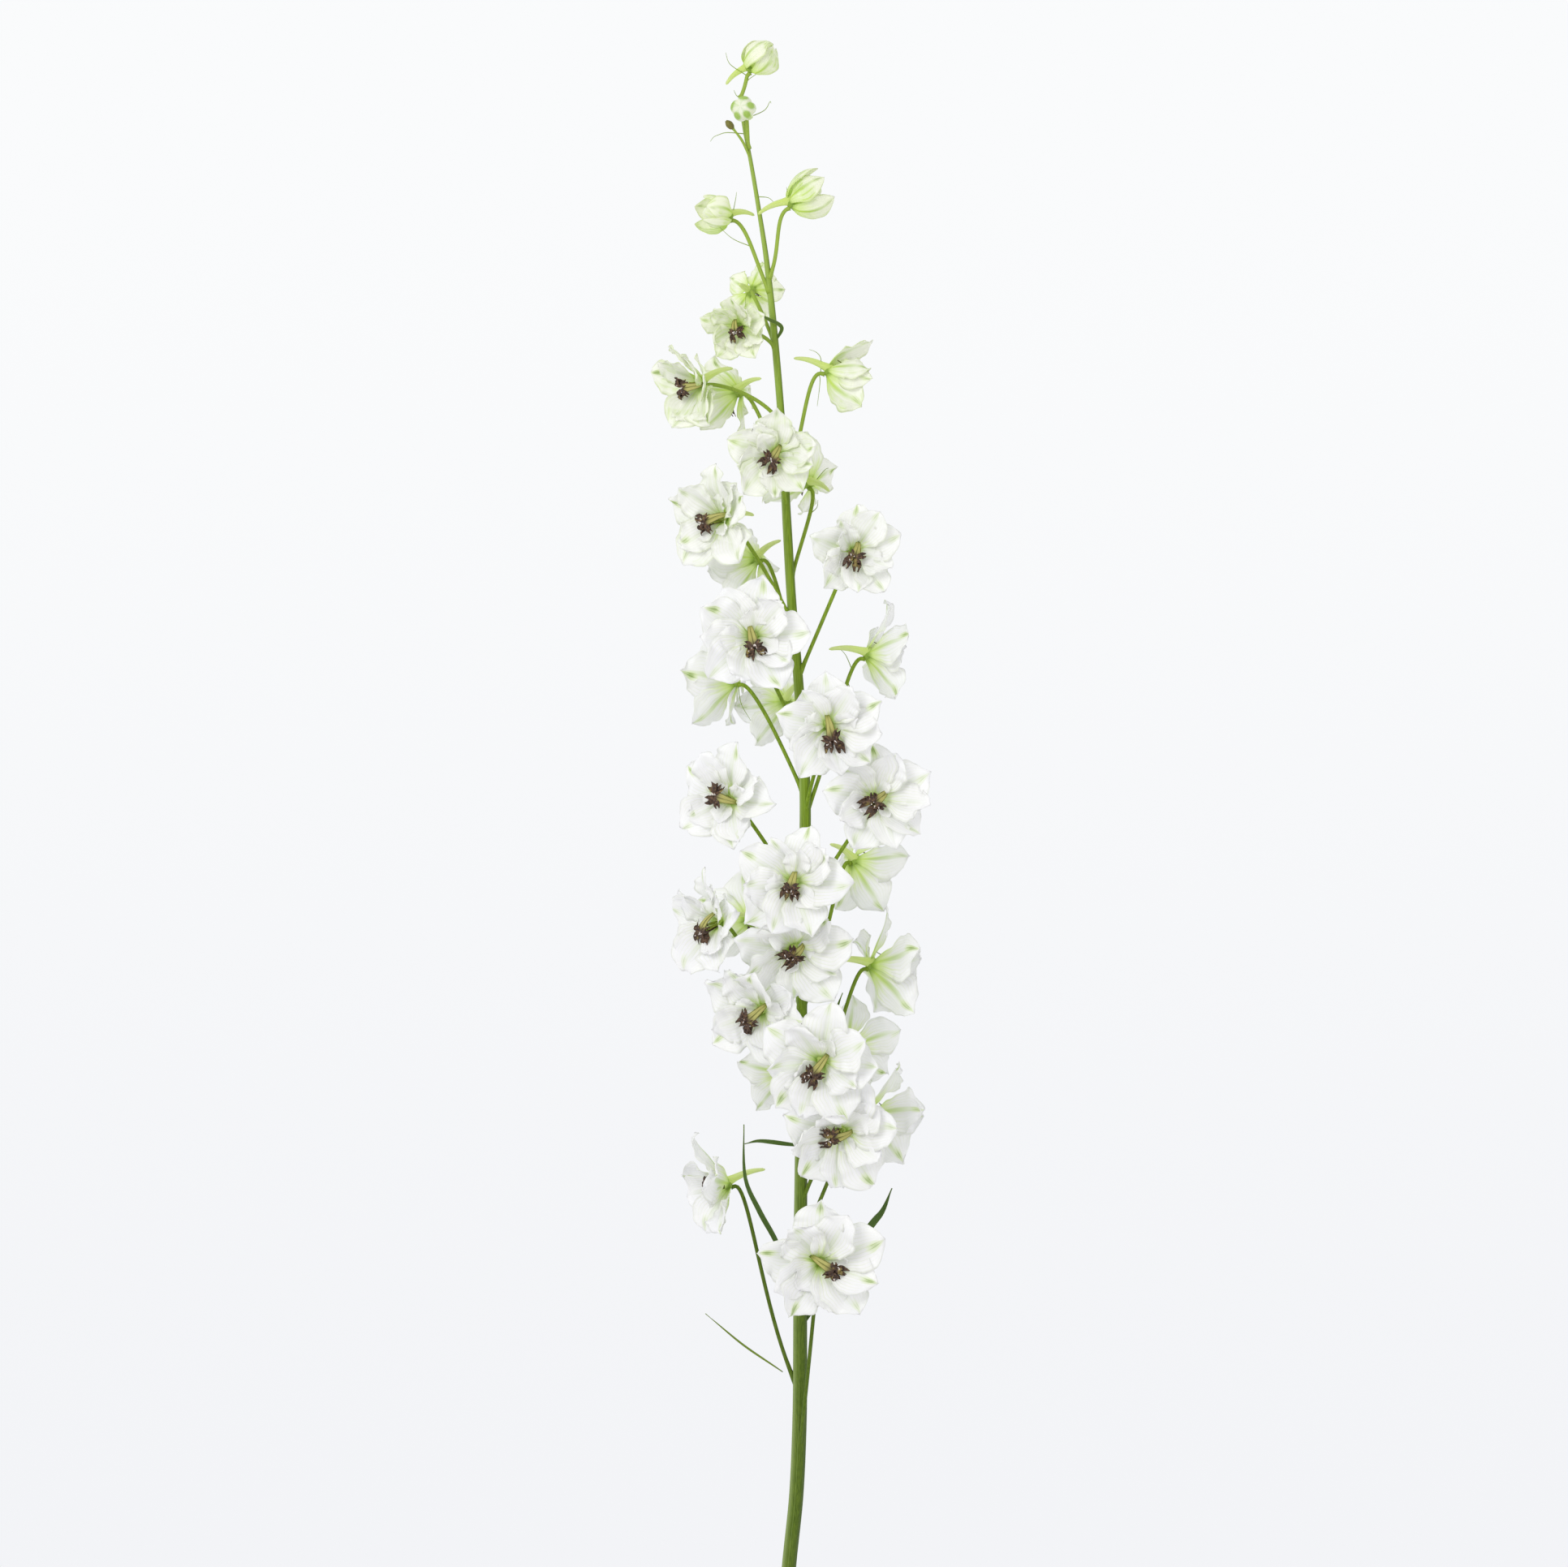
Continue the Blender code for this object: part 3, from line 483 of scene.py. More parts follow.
def sepal(bloom, place, leans, rng):
    """One of the five outer petals of a bloom."""
    pressed = bloom.facing[2] < PRESSED_FACING
    return Petal(
        angle=360.0 * place / SEPALS + rng.uniform(-5, 5),
        root_height=SEPAL_ROOT_HEIGHT,
        length=bloom.reach * rng.uniform(0.93, 1.04),
        root_lean=leans[0] + rng.uniform(-4, 4),
        tip_lean=leans[1] + rng.uniform(-9, 9),
        shingle=rng.uniform(15, 19),
        cup=mix(BUD_CUP, OPEN_CUP, bloom.opening) + rng.uniform(-0.06, 0.06),
        wave=rng.uniform(-0.03, 0.03),
        stations=INNER_STATIONS if pressed else SEPAL_STATIONS,
    )


def inner_petal(bloom, place, ring, leans, rng):
    """One of the smaller petals that stand inside the sepals."""
    return Petal(
        angle=360.0 * (place + 0.5) / ring + rng.uniform(-8, 8),
        root_height=INNER_ROOT_HEIGHT,
        length=bloom.reach * INNER_SHARE * rng.uniform(0.88, 1.06),
        root_lean=leans[0] - INNER_UPRIGHT + rng.uniform(-3, 4),
        tip_lean=leans[1] - INNER_CLOSING * bloom.opening + rng.uniform(-10, 8),
        shingle=rng.uniform(14, 19),
        cup=rng.uniform(0.12, 0.28),
        wave=rng.uniform(-0.04, 0.04),
        stations=INNER_STATIONS,
    )


def bloom_petals(bloom):
    """The petals of a bloom in their layers: the sepals, then the inner ring."""
    rng = random.Random(bloom.name)
    root_lean = ROOT_LEAN - ROOT_LEAN_CLOSING * bloom.opening
    leans = (root_lean, mix(BUD_TIP_LEAN, OPEN_TIP_LEAN, bloom.opening))
    petals = [sepal(bloom, k, leans, rng) for k in range(SEPALS)]
    if bloom.opening < BUD_OPENING:
        return petals
    ring = HIDDEN_INNER_PETALS
    if bloom.facing[2] > SIDE_FACING:
        ring = SIDE_INNER_PETALS
    if bloom.facing[2] > FULL_FACING:
        ring = INNER_PETALS
    return petals + [inner_petal(bloom, k, ring, leans, rng) for k in range(ring)]


def outline(share):
    """Half the width of a petal at a share of its length, over its greatest half width."""
    belly = math.sin(math.pi * share**BELLY_PLACE) ** BELLY_FULLNESS
    return CLAW + (1.0 - CLAW) * belly


def petal_blade(axes, middle, petal, way, grow=0.0):
    """One petal as a closed blade, bent one way. grow swells it, to test what it clears."""
    right, up, facing = axes
    bend, swing, scale = way
    angle = math.radians(petal.angle + swing)
    outward = up * math.cos(angle) + right * math.sin(angle)
    side = outward.cross(facing)
    length = petal.length * scale
    widest = PETAL_WIDTH * length * (BUD_WIDTH if petal.tip_lean < 0 else 1.0)
    root_lean = petal.root_lean + bend * ROOT_BEND
    tip_lean = petal.tip_lean + bend
    tilt = math.radians(petal.shingle)
    thick = PETAL_THICKNESS / 2 + grow
    rib = middle + outward * PETAL_ROOT + facing * petal.root_height
    reached = 0.0
    rows = []
    for share in petal.stations:
        course = math.radians(mix(root_lean, tip_lean, (share + reached) / 2))
        step = (share - reached) * (length + grow)
        rib = rib + (outward * math.sin(course) + facing * math.cos(course)) * step
        reached = share
        course = math.radians(mix(root_lean, tip_lean, share))
        flat = facing * math.sin(course) - outward * math.cos(course)
        across = side * math.cos(tilt) + flat * math.sin(tilt)
        normal = flat * math.cos(tilt) - side * math.sin(tilt)
        half = widest * outline(share) + grow
        lift = petal.cup * half
        wave = petal.wave * length * math.sin(WAVE_RATE * share)
        left = settled(rib - across * half + normal * (lift + wave), 0.0)
        right_rim = settled(rib + across * half + normal * (lift - wave), 0.0)
        top = settled(rib + normal * thick, PETAL_THICKNESS)
        bottom = settled(rib - normal * thick, 0.0)
        rows.append((left, top, right_rim, bottom))
    rows.pop()
    return blade(rows, settled(rib, 0.0))


def bending_ways():
    """Ways to bend, swing and shorten a petal, the gentlest first."""
    ways = []
    for bend in BENDS:
        for swing in SWINGS:
            for scale in SCALES:
                cost = abs(bend) * BEND_COST + abs(swing) * SWING_COST + (1 - scale) * SCALE_COST
                ways.append((cost, bend, swing, scale))
    return [way[1:] for way in sorted(ways)]


def search_tree(pieces):
    """A tree that finds where other shapes cross these pieces."""
    corners = []
    faces = []
    for piece_corners, piece_faces in pieces:
        faces += [tuple(index + len(corners) for index in face) for face in piece_faces]
        corners += piece_corners
    return BVHTree.FromPolygons(corners, faces)


def clear_way(axes, middle, petal, ways, others):
    """The gentlest way to bend a petal that clears the others, or None where none does."""
    for way in ways:
        swollen = search_tree([petal_blade(axes, middle, petal, way, CLEARANCE)])
        if not any(swollen.overlap(other) for other in others):
            return way
    return None


def hub(axes, middle):
    """The small cup that petals and spur grow from, flat in front and behind."""
    facing = axes[2]
    points = [middle + facing * HUB_BACK, middle, middle + facing * HUB_FRONT]
    radii = [HUB_RADIUS * HUB_BACK_SHARE, HUB_RADIUS, HUB_RADIUS * HUB_FRONT_SHARE]
    return tube(points, radii, HUB_SIDES)


def spur_point(axes, middle, reach, share):
    """The middle of a spur at a share of its length."""
    _, up, facing = axes
    rise = SPUR_SEAT + SPUR_ARCH * math.sin(SPUR_SWEEP * max(share, 0.0))
    return middle + up * rise - facing * (SPUR_SUNK + SPUR_LENGTH * reach * share)


def spur_girth(reach):
    """The radius of a spur at its root."""
    return SPUR_RADIUS * mix(SMALL_SPUR, 1.0, reach / FULL_REACH)


def spur(axes, middle, reach):
    """The horn behind the upper sepal."""
    points = [spur_point(axes, middle, reach, share) for share, _ in SPUR_STATIONS]
    radii = [spur_girth(reach) * radius for _, radius in SPUR_STATIONS]
    return tube(points, radii, SPUR_SIDES)


def core(axes, middle, reach):
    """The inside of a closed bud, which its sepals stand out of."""
    facing = axes[2]
    points = [middle + facing * reach * share for share, _ in CORE_STATIONS]
    return tube(points, [reach * station[1] for station in CORE_STATIONS], CORE_SIDES)


def heart(axes, middle, reach):
    """The dark heart of a bloom: four folded lobes round a pit, on a narrow foot."""
    right, up, facing = axes
    seat = middle + facing * (HUB_FRONT + SEAT_GAP)
    size = min(reach / HEART_FULL_REACH, 1.0)
    full_height = HEART_RINGS[-1][0]
    around = 2 * HEART_LOBES
    corners = []
    for height, lobe, fold in HEART_RINGS:
        for k in range(around):
            angle = math.tau * (k + 0.5) / around
            outward = up * math.cos(angle) + right * math.sin(angle)
            radius = fold if k % 2 else lobe
            rise = height + (HEART_RUFFLE if k % 2 else 0.0) * height / full_height
            droop = HEART_DROOP * height / full_height
            corners.append(seat + (outward * radius + facing * rise - up * droop) * size)
    corners.append(seat + facing * HEART_PIT * size)
    faces = band(0, around) + band(around, around)
    last = (len(HEART_RINGS) - 1) * around
    for k in range(around):
        faces.append((last + k, last + (k + 1) % around, len(corners) - 1))
    for k in range(1, around - 1):
        faces.append((0, k + 1, k))
    return corners, faces


def stalk_curve(bloom, axes, count):
    """The middle of a bloom's stalk, from inside the shaft to just behind its hub."""
    _, up, facing = axes
    root = shaft_at(bloom.joint)
    end = Vector(bloom.place) + facing * (HUB_BACK - SEAT_GAP) - up * STALK_SEAT
    span = (end - root).length
    sideways = end - root
    sideways.y = 0.0
    leaving = unit(unit(sideways) * STALK_SPREAD + ALONG)
    arrival = min(STALK_ARRIVAL, span * 0.3)
    path = interpolate_bezier(
        root,
        root + leaving * span * STALK_RISE,
        end - facing * arrival - up * STALK_COLLAR,
        end - facing * STALK_COLLAR,
        count,
    )
    return path + [end]


def stalk(bloom, axes):
    """A bloom's stalk with few sides."""
    path = stalk_curve(bloom, axes, STALK_POINTS)
    radii = [STALK_RADIUS * mix(STALK_TAPER, 1.0, i / STALK_POINTS) for i in range(len(path))]
    return tube(path, radii, STALK_SIDES)


def bract(points, greatest):
    """A narrow leaf along points, from inside what it grows from to its tip."""
    path = [Vector(point) for point in points]
    rows = []
    for i, point in enumerate(path[:-1]):
        along = unit(path[i + 1] - path[max(i - 1, 0)])
        half = greatest * (1.0 if i else BRACT_ROOT_SHARE)
        across = unit(along.cross(UPWARD))
        normal = across.cross(along) * BRACT_THICKNESS / 2
        rows.append((point - across * half, point + normal, point + across * half, point - normal))
    return blade(rows, path[-1])


def green_pieces():
    """The shaft with its stalks, bracts and withered bud."""
    corners, faces = tube([Vector(row[:3]) for row in SHAFT], [row[3] for row in SHAFT], SHAFT_SIDES)
    pieces = [([settled(corner, 0.0) for corner in corners], faces)]
    pieces += [stalk(bloom, bloom_axes(bloom)) for bloom in BLOOMS]
    pieces += [bract(points, greatest) for points, greatest in BRACTS]
    places = [Vector(place) for place, _ in WITHERED_BUD]
    pieces.append(tube(places, [row[1] for row in WITHERED_BUD], WITHERED_SIDES))
    return pieces


def bloom_middle(bloom):
    """The pieces of a bloom that its petals grow from."""
    axes = bloom_axes(bloom)
    middle = Vector(bloom.place)
    pieces = [hub(axes, middle), spur(axes, middle, bloom.reach)]
    if bloom.opening < BUD_OPENING:
        pieces.append(core(axes, middle, bloom.reach))
    return pieces


def has_heart(bloom):
    """Whether a bloom is open and shows its dark heart."""
    return bloom.opening >= BUD_OPENING and bloom.name not in FACE_DOWN


class Shape:
    """Vertices, faces and the marks and tones that colour them, gathered from several pieces."""

    def __init__(self):
        self.points = []
        self.faces = []
        self.marks = []
        self.tones = []
        self.count = 0

    def add(self, points, faces, marks, tone):
        points = np.asarray(points, float)
        marks = np.asarray(marks, float)
        if marks.ndim == 1:
            marks = np.tile(marks, (len(points), 1))
        self.points.append(points)
        self.marks.append(marks)
        self.tones.append(np.tile(np.asarray(tone, float), (len(points), 1)))
        self.faces += [tuple(index + self.count for index in face) for face in faces]
        self.count += len(points)

    def made(self, name, material, slot, nodes=()):
        """A smooth object in metres that rides on the part."""
        points = np.concatenate(self.points)
        points[:, 2] = np.maximum(points[:, 2], LOWEST)
        mesh = bpy.data.meshes.new(name)
        mesh.from_pydata((points * MM).tolist(), [], self.faces)
        marks = mesh.attributes.new("mark", "FLOAT_VECTOR", "POINT")
        marks.data.foreach_set("vector", np.concatenate(self.marks).ravel())
        tones = mesh.color_attributes.new("tone", "FLOAT_COLOR", "POINT")
        tones.data.foreach_set("color", np.concatenate(self.tones).ravel())
        mesh.shade_smooth()
        mesh.materials.append(material)
        obj = bpy.data.objects.new(name, mesh)
        bpy.context.scene.collection.objects.link(obj)
        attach(obj, "root")
        if nodes:
            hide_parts(*nodes)
        return obj


def shell_faces(rows, columns):
    """Quads of a closed shell: a front grid, a back grid after it, and the rim between them."""
    back = rows * columns
    faces = []
    for i in range(rows - 1):
        for j in range(columns - 1):
            a = i * columns + j
            b = a + 1
            c = b + columns
            d = a + columns
            faces.append((a, b, c, d))
            faces.append((back + a, back + d, back + c, back + b))
    for i in range(rows - 1):
        a = i * columns
        b = a + columns
        faces.append((a, b, back + b, back + a))
        a += columns - 1
        b += columns - 1
        faces.append((a, back + a, back + b, b))
    for j in range(columns - 1):
        a = j
        b = j + 1
        faces.append((a, back + a, back + b, b))
        a += (rows - 1) * columns
        b += (rows - 1) * columns
        faces.append((a, b, back + b, back + a))
    return faces


PETAL_FACES = shell_faces(ROWS, COLUMNS)
LOBE_FACES = shell_faces(LOBE_ROWS, LOBE_COLUMNS)


def unit_rows(vectors):
    """Each row of an array at length one."""
    return vectors / np.maximum(np.linalg.norm(vectors, axis=-1, keepdims=True), 1e-12)


def smooth_step(low, high, value):
    """0 below low, 1 above high, and smooth between them."""
    share = np.clip((value - low) / (high - low), 0.0, 1.0)
    return share * share * (3.0 - 2.0 * share)


def shell(middle, normal, thickness):
    """Front and back points of a sheet, from its middle surface, normals and thickness."""
    half = normal * thickness[..., None] / 2
    return np.concatenate([(middle + half).reshape(-1, 3), (middle - half).reshape(-1, 3)])


def shell_marks(along, across):
    """Place along, place across and side (1 front, -1 back) of each point of a shell."""
    grid_v, grid_u = np.meshgrid(along, across, indexing="ij")
    sides = []
    for side in (1.0, -1.0):
        sides.append(np.stack([grid_v, grid_u, np.full_like(grid_v, side)], axis=-1).reshape(-1, 3))
    return np.concatenate(sides)


def surface_normals(points):
    """Normals of a grid of points, along their rows and columns."""
    along = np.gradient(points, axis=0)
    across = np.gradient(points, axis=1)
    return unit_rows(np.cross(across, along))


def sepal_form(rng):
    """How an outer petal's end and rim are shaped: pointed, with a soft ruffle and a curled tip."""
    return Form(
        point=rng.uniform(0.72, 1.15),
        blunt=rng.uniform(0.0, 0.1),
        notch=0.0,
        ruffle=rng.uniform(0.022, 0.046),
        crease=rng.uniform(0.012, 0.03),
        curl=rng.choice((-1, 1, 1)) * rng.uniform(8, 48),
        layer=0.0,
    )


def inner_form(rng):
    """An inner petal's: often blunt or notched, with a stronger ruffle."""
    blunt = rng.choice((0.02, 0.08, 0.3, 0.45))
    return Form(
        point=rng.uniform(0.6, 1.1),
        blunt=blunt,
        notch=rng.uniform(-0.03, 0.14) if blunt > 0.2 else 0.0,
        ruffle=rng.uniform(0.026, 0.05),
        crease=rng.uniform(0.015, 0.035),
        curl=rng.uniform(-38, 30),
        layer=0.0,
    )


def bud_form(order):
    """A closed bud's petals lie smooth over each other in layers."""
    return Form(point=0.8, blunt=0.0, notch=0.0, ruffle=0.0, crease=0.0, curl=0.0, layer=-0.3 * order)


def petal_rib(outward, facing, start, length, petal, bend, curl, v):
    """Points, directions and flat normals along the middle line of a petal."""
    root_lean = petal.root_lean + bend * ROOT_BEND
    lean = mix(root_lean, petal.tip_lean + bend, v) + curl * smooth_step(CURL_START, 1.0, v)
    lean = np.radians(lean)[:, None]
    tangent = outward * np.sin(lean) + facing * np.cos(lean)
    flat = facing * np.sin(lean) - outward * np.cos(lean)
    steps = (tangent[1:] + tangent[:-1]) / 2 * (length / (len(v) - 1))
    rib = start + np.concatenate([np.zeros((1, 3)), np.cumsum(steps, axis=0)])
    return rib, tangent, flat


def petal_spread(v, u, widest, form, rng):
    """How far each point lies across from the middle line."""
    belly = np.sin(math.pi * np.minimum(v, 1.0) ** BELLY_PLACE)
    belly = np.maximum(belly, 0.0) ** np.where(v < 0.5, BELLY_FULLNESS, form.point)
    half = CLAW * (1.0 - v**3) + (1.0 - CLAW) * belly + form.blunt * v**9
    half = widest * np.maximum(half, TIP_WIDTH)
    wobble = np.zeros((len(v), len(u)))
    for sign in (-1, 1):
        edge = np.zeros(len(v))
        for size, rate in RIM_WOBBLES:
            edge += size * np.sin(rate * rng.uniform(0.85, 1.15) * v + rng.uniform(0, math.tau))
        wobble += np.where(u[None, :] * sign > 0, edge[:, None], 0.0)
    return half, half[:, None] * u[None, :] * (1.0 + wobble)


def petal_relief(v, u, half, length, petal, form, rng):
    """How far each point stands off the flat petal: its cup, wave, ruffle, pleats and creases."""
    rows = v[:, None]
    columns = u[None, :]
    rim = np.abs(columns)
    away = smooth_step(0.06, 0.5, rows)
    lift = petal.cup * half[:, None] * rim**1.5
    lift = lift - columns * petal.wave * length * np.sin(WAVE_RATE * rows)
    for sign in (-1, 1):
        curl = np.zeros(len(v))
        for size, slow, fast in RUFFLES:
            rate = rng.uniform(slow, fast)
            curl += size * np.sin(math.tau * rate * v + rng.uniform(0, math.tau))
        side = np.where(columns * sign > 0, curl[:, None], 0.0)
        lift = lift + form.ruffle * length * away * rim**2.2 * side
    if form.crease:
        swell = rng.uniform(0, math.tau)
        lift = lift + SWELL * length * away * np.sin(6.5 * rows + 2.6 * columns + swell)
        pleat = np.cos(math.pi * rng.uniform(2.6, 4.2) * columns + rng.uniform(-0.6, 0.6))
        fade = np.sin(math.pi * np.clip(rows * 1.12, 0, 1))
        lift = lift + PLEAT * length * fade * pleat * (1 - rim**2)
        for _ in range(CREASES):
            place = rng.uniform(-0.6, 0.6)
            width = rng.uniform(0.07, 0.16)
            line = place * (0.6 + 0.4 * rows)
            depth = form.crease * rng.choice((-1, 1, 1))
            lift = lift - depth * length * fade * np.exp(-(((columns - line) / width) ** 2))
        pinch = rng.uniform(*PINCH) * length
        lift = lift + pinch * np.exp(-(((rows - 0.93) / 0.07) ** 2)) * (1 - rim**2)
    groove = np.exp(-((columns / 0.13) ** 2)) * (1 - rows)
    return lift - GROOVE * groove + form.layer * smooth_step(0.0, 0.2, rows)


def fine_petal(shape, axes, middle, petal, way, rng, tone, form):
    """A thin ruffled petal that follows the blade of the same petal and way."""
    right, up, facing = (np.array(axis) for axis in axes)
    bend, swing, scale = way
    angle = math.radians(petal.angle + swing)
    outward = up * math.cos(angle) + right * math.sin(angle)
    side = np.cross(outward, facing)
    length = petal.length * scale
    widest = PETAL_WIDTH * length * (BUD_WIDTH if petal.tip_lean < 0 else 1.0)
    v = np.linspace(0.0, 1.0, ROWS)
    u = np.linspace(-1.0, 1.0, COLUMNS)
    start = np.array(middle) + outward * PETAL_ROOT + facing * petal.root_height
    rib, tangent, flat = petal_rib(outward, facing, start, length, petal, bend, form.curl, v)
    twist = rng.uniform(-TWIST, TWIST)
    tilt = np.radians(petal.shingle + twist * v)[:, None]
    across = side * np.cos(tilt) + flat * np.sin(tilt)
    normal = flat * np.cos(tilt) - side * np.sin(tilt)

    half, spread = petal_spread(v, u, widest, form, rng)
    lift = petal_relief(v, u, half, length, petal, form, rng)
    wide = np.abs(u)[None, :]
    ragged = np.sin(9.0 * u + rng.uniform(0, math.tau)) + 0.6 * np.sin(21.0 * u + rng.uniform(0, math.tau))
    short = 0.5 * form.blunt * wide**2 + form.notch * (1 - wide) ** 2 + 0.05 * form.blunt * ragged
    back = length * short * (v**5)[:, None]
    points = rib[:, None, :] + across[:, None, :] * spread[..., None]
    points = points + normal[:, None, :] * lift[..., None] - tangent[:, None, :] * back[..., None]

    thick = np.full(lift.shape, RIM_THICKNESS)
    if form.crease:
        thick = np.maximum(RIB_THICKNESS * (1 - wide**2) * (1 - 0.6 * v[:, None]), RIM_THICKNESS)
    points[..., 2] = np.maximum(points[..., 2], LOWEST + thick)
    whole = shell(points, surface_normals(points), thick)
    shape.add(whole, PETAL_FACES, shell_marks(v, u), tone)


def round_tube(shape, points, radii, sides, mark, tone, ridges=0, ridge=0.0):
    """A smooth closed tube along points, with low ridges along it."""
    points = np.asarray([tuple(point) for point in points], float)
    radii = np.asarray(radii, float)
    count = len(points)
    tangent = unit_rows(np.gradient(points, axis=0))
    first = np.array(UPWARD if abs(tangent[0][2]) < STEEP else ACROSS)
    side = np.cross(tangent[0], first)
    side = side / np.linalg.norm(side)
    corners = np.zeros((count, sides, 3))
    angle = math.tau * np.arange(sides) / sides
    swell = 1.0 + ridge * np.cos(ridges * angle)
    for i in range(count):
        side = side - tangent[i] * side.dot(tangent[i])
        side = side / np.linalg.norm(side)
        top = np.cross(side, tangent[i])
        ring = np.outer(np.sin(angle), side) + np.outer(np.cos(angle), top)
        corners[i] = points[i] + ring * (radii[i] * swell)[:, None]
    faces = []
    for i in range(count - 1):
        for k in range(sides):
            a = i * sides + k
            b = i * sides + (k + 1) % sides
            faces.append((a, b, b + sides, a + sides))
    flat = corners.reshape(-1, 3)
    whole = np.concatenate([flat, points[:1], points[-1:]])
    head = len(flat)
    last = (count - 1) * sides
    for k in range(sides):
        after = (k + 1) % sides
        faces.append((head, after, k))
        faces.append((head + 1, last + k, last + after))
    marks = np.tile(np.array(mark, float), (len(whole), 1))
    marks[:head, 0] = np.repeat(np.linspace(0.0, 1.0, count), sides)
    marks[:head, 1] = np.tile(angle / math.tau, count)
    marks[head + 1, 0] = 1.0
    shape.add(whole, faces, marks, tone)


def smooth_path(places, count):
    """Points evenly along a smooth curve through places."""
    places = np.asarray([tuple(place) for place in places], float)
    padded = np.concatenate([[2 * places[0] - places[1]], places, [2 * places[-1] - places[-2]]])
    found = []
    spans = len(places) - 1
    for place in np.linspace(0.0, spans, count):
        i = min(int(place), spans - 1)
        t = place - i
        a, b, c, d = padded[i : i + 4]
        curve = 2 * b + (c - a) * t + (2 * a - 5 * b + 4 * c - d) * t * t
        curve = curve + (3 * b - a - 3 * c + d) * t**3
        found.append(curve / 2)
    return np.array(found)


def lobe(shape, path, widths, side, rng, tone, crumple, fork, thickness=0.35):
    """A crumpled lobe along a path, forked at its end."""
    rib = smooth_path(path, LOBE_ROWS)
    v = np.linspace(0.0, 1.0, LOBE_ROWS)
    u = np.linspace(-1.0, 1.0, LOBE_COLUMNS)
    tangent = unit_rows(np.gradient(rib, axis=0))
    side = np.array(side)
    across = unit_rows(side - tangent * (tangent @ side)[:, None])
    normal = np.cross(across, tangent)
    half = np.interp(v, np.linspace(0, 1, len(widths)), widths)
    spread = half[:, None] * u[None, :]
    size = max(widths)
    lift = np.zeros((LOBE_ROWS, LOBE_COLUMNS))
    for _ in range(LOBE_WAVES):
        rate_v = rng.uniform(4, 13)
        rate_u = rng.uniform(2, 7)
        start = rng.uniform(0, math.tau)
        lift += np.sin(rate_v * v[:, None] + rate_u * u[None, :] + start)
    lift *= crumple * size * smooth_step(0.1, 0.5, v)[:, None] / 2
    back = fork * size * (1 - np.abs(u)[None, :]) * smooth_step(0.6, 1.0, v)[:, None]
    ragged = rng.uniform(0, math.tau)
    back = back + 0.12 * size * np.sin(9 * u[None, :] + ragged) * smooth_step(0.7, 1, v)[:, None]
    points = rib[:, None, :] + across[:, None, :] * spread[..., None]
    points = points + normal[:, None, :] * lift[..., None] - tangent[:, None, :] * back[..., None]
    thick = np.full((LOBE_ROWS, LOBE_COLUMNS), thickness)
    whole = shell(points, surface_normals(points), thick)
    shape.add(whole, LOBE_FACES, shell_marks(v, u), tone)


def heart_seat(bloom, axes, middle):
    """Where a bloom's heart sits, and which way it hangs."""
    _, up, facing = axes
    size = min(bloom.reach / HEART_FULL_REACH, 1.0)
    foot = middle + facing * (HUB_FRONT + SEAT_GAP)
    lean = -up * HIDDEN_HEART_LEAN
    if bloom.name in HEART_LEANS:
        lean = Vector((*HEART_LEANS[bloom.name], 0.0))
        lean = lean - Vector((facing.x, facing.y, 0.0)) * (HEART_FORWARD * size + HUB_FRONT)
        lean = lean - facing * lean.dot(facing)
    if lean.length > HEART_GREATEST_LEAN:
        lean = lean.normalized() * HEART_GREATEST_LEAN
    hang = lean.normalized() if lean.length > HEART_LEAST_LEAN else -up
    centre = foot + facing * HEART_FORWARD * size + lean
    start = foot - hang * STRAP_RISE * size + facing * 1.2 * size
    end = centre + hang * 0.2 * size + facing * 0.9 * size
    return Seat(foot, centre, start, end, hang, facing.cross(hang), facing, size)


def strap(shape, seat, aside, rng):
    """One half of the beige strap that a heart hangs from."""
    size = seat.size
    path = [
        seat.start + aside * 0.4,
        seat.start.lerp(seat.end, 0.3) + seat.facing * 2.4 * size + aside * 0.7,
        seat.start.lerp(seat.end, 0.7) + seat.facing * 1.8 * size + aside * 1.1,
        seat.end + aside * 1.5,
    ]
    widths = [0.5 * size, 0.9 * size, 1.2 * size, 1.7 * size]
    lobe(shape, path, widths, seat.beside, rng, STRAP, 0.1, 0.3)


def side_lobe(shape, seat, aside, turn, rng):
    """A small dark lobe that stands out beside the strap's end."""
    size = seat.size
    reach = rng.uniform(4.2, 6.6) * size
    away = aside * math.cos(turn) + seat.hang * math.sin(turn)
    path = [
        seat.end + aside * 0.9 + seat.hang * 0.4,
        seat.end + away * reach * 0.55 + seat.facing * rng.uniform(-0.4, 0.8),
        seat.end + away * reach * 1.05 - seat.facing * rng.uniform(0.2, 1.8),
    ]
    widths = [0.9 * size, 1.4 * size, 1.8 * size, 0.9 * size]
    across = seat.hang * math.cos(turn) - aside * math.sin(turn)
    lobe(shape, path, widths, across, rng, DARK, 0.34, 1.2)


def lower_lobe(shape, seat, sign, rng):
    """One of the two large dark lobes, from the foot to below the strap's end."""
    size = seat.size
    reach = rng.uniform(5.4, 8.2) * size
    spread = rng.uniform(2.8, 4.6) * sign
    aside = seat.beside * sign
    path = [
        seat.foot + seat.hang * 1.0 + aside * 0.8,
        seat.centre.lerp(seat.foot, 0.3) + seat.hang * 1.2 + aside * 1.0,
        seat.centre + seat.hang * 2.4 * size + seat.beside * spread * 0.7 * size,
        seat.centre + seat.hang * reach + seat.beside * spread * size,
    ]
    path[-1] = path[-1] - seat.facing * rng.uniform(0.2, 2.0)
    widths = [0.5 * size, 0.8 * size, 1.8 * size, 2.4 * size, 1.4 * size]
    across = seat.beside + seat.facing * rng.uniform(-0.3, 0.3)
    lobe(shape, path, widths, across, rng, DARK, 0.34, 1.5)


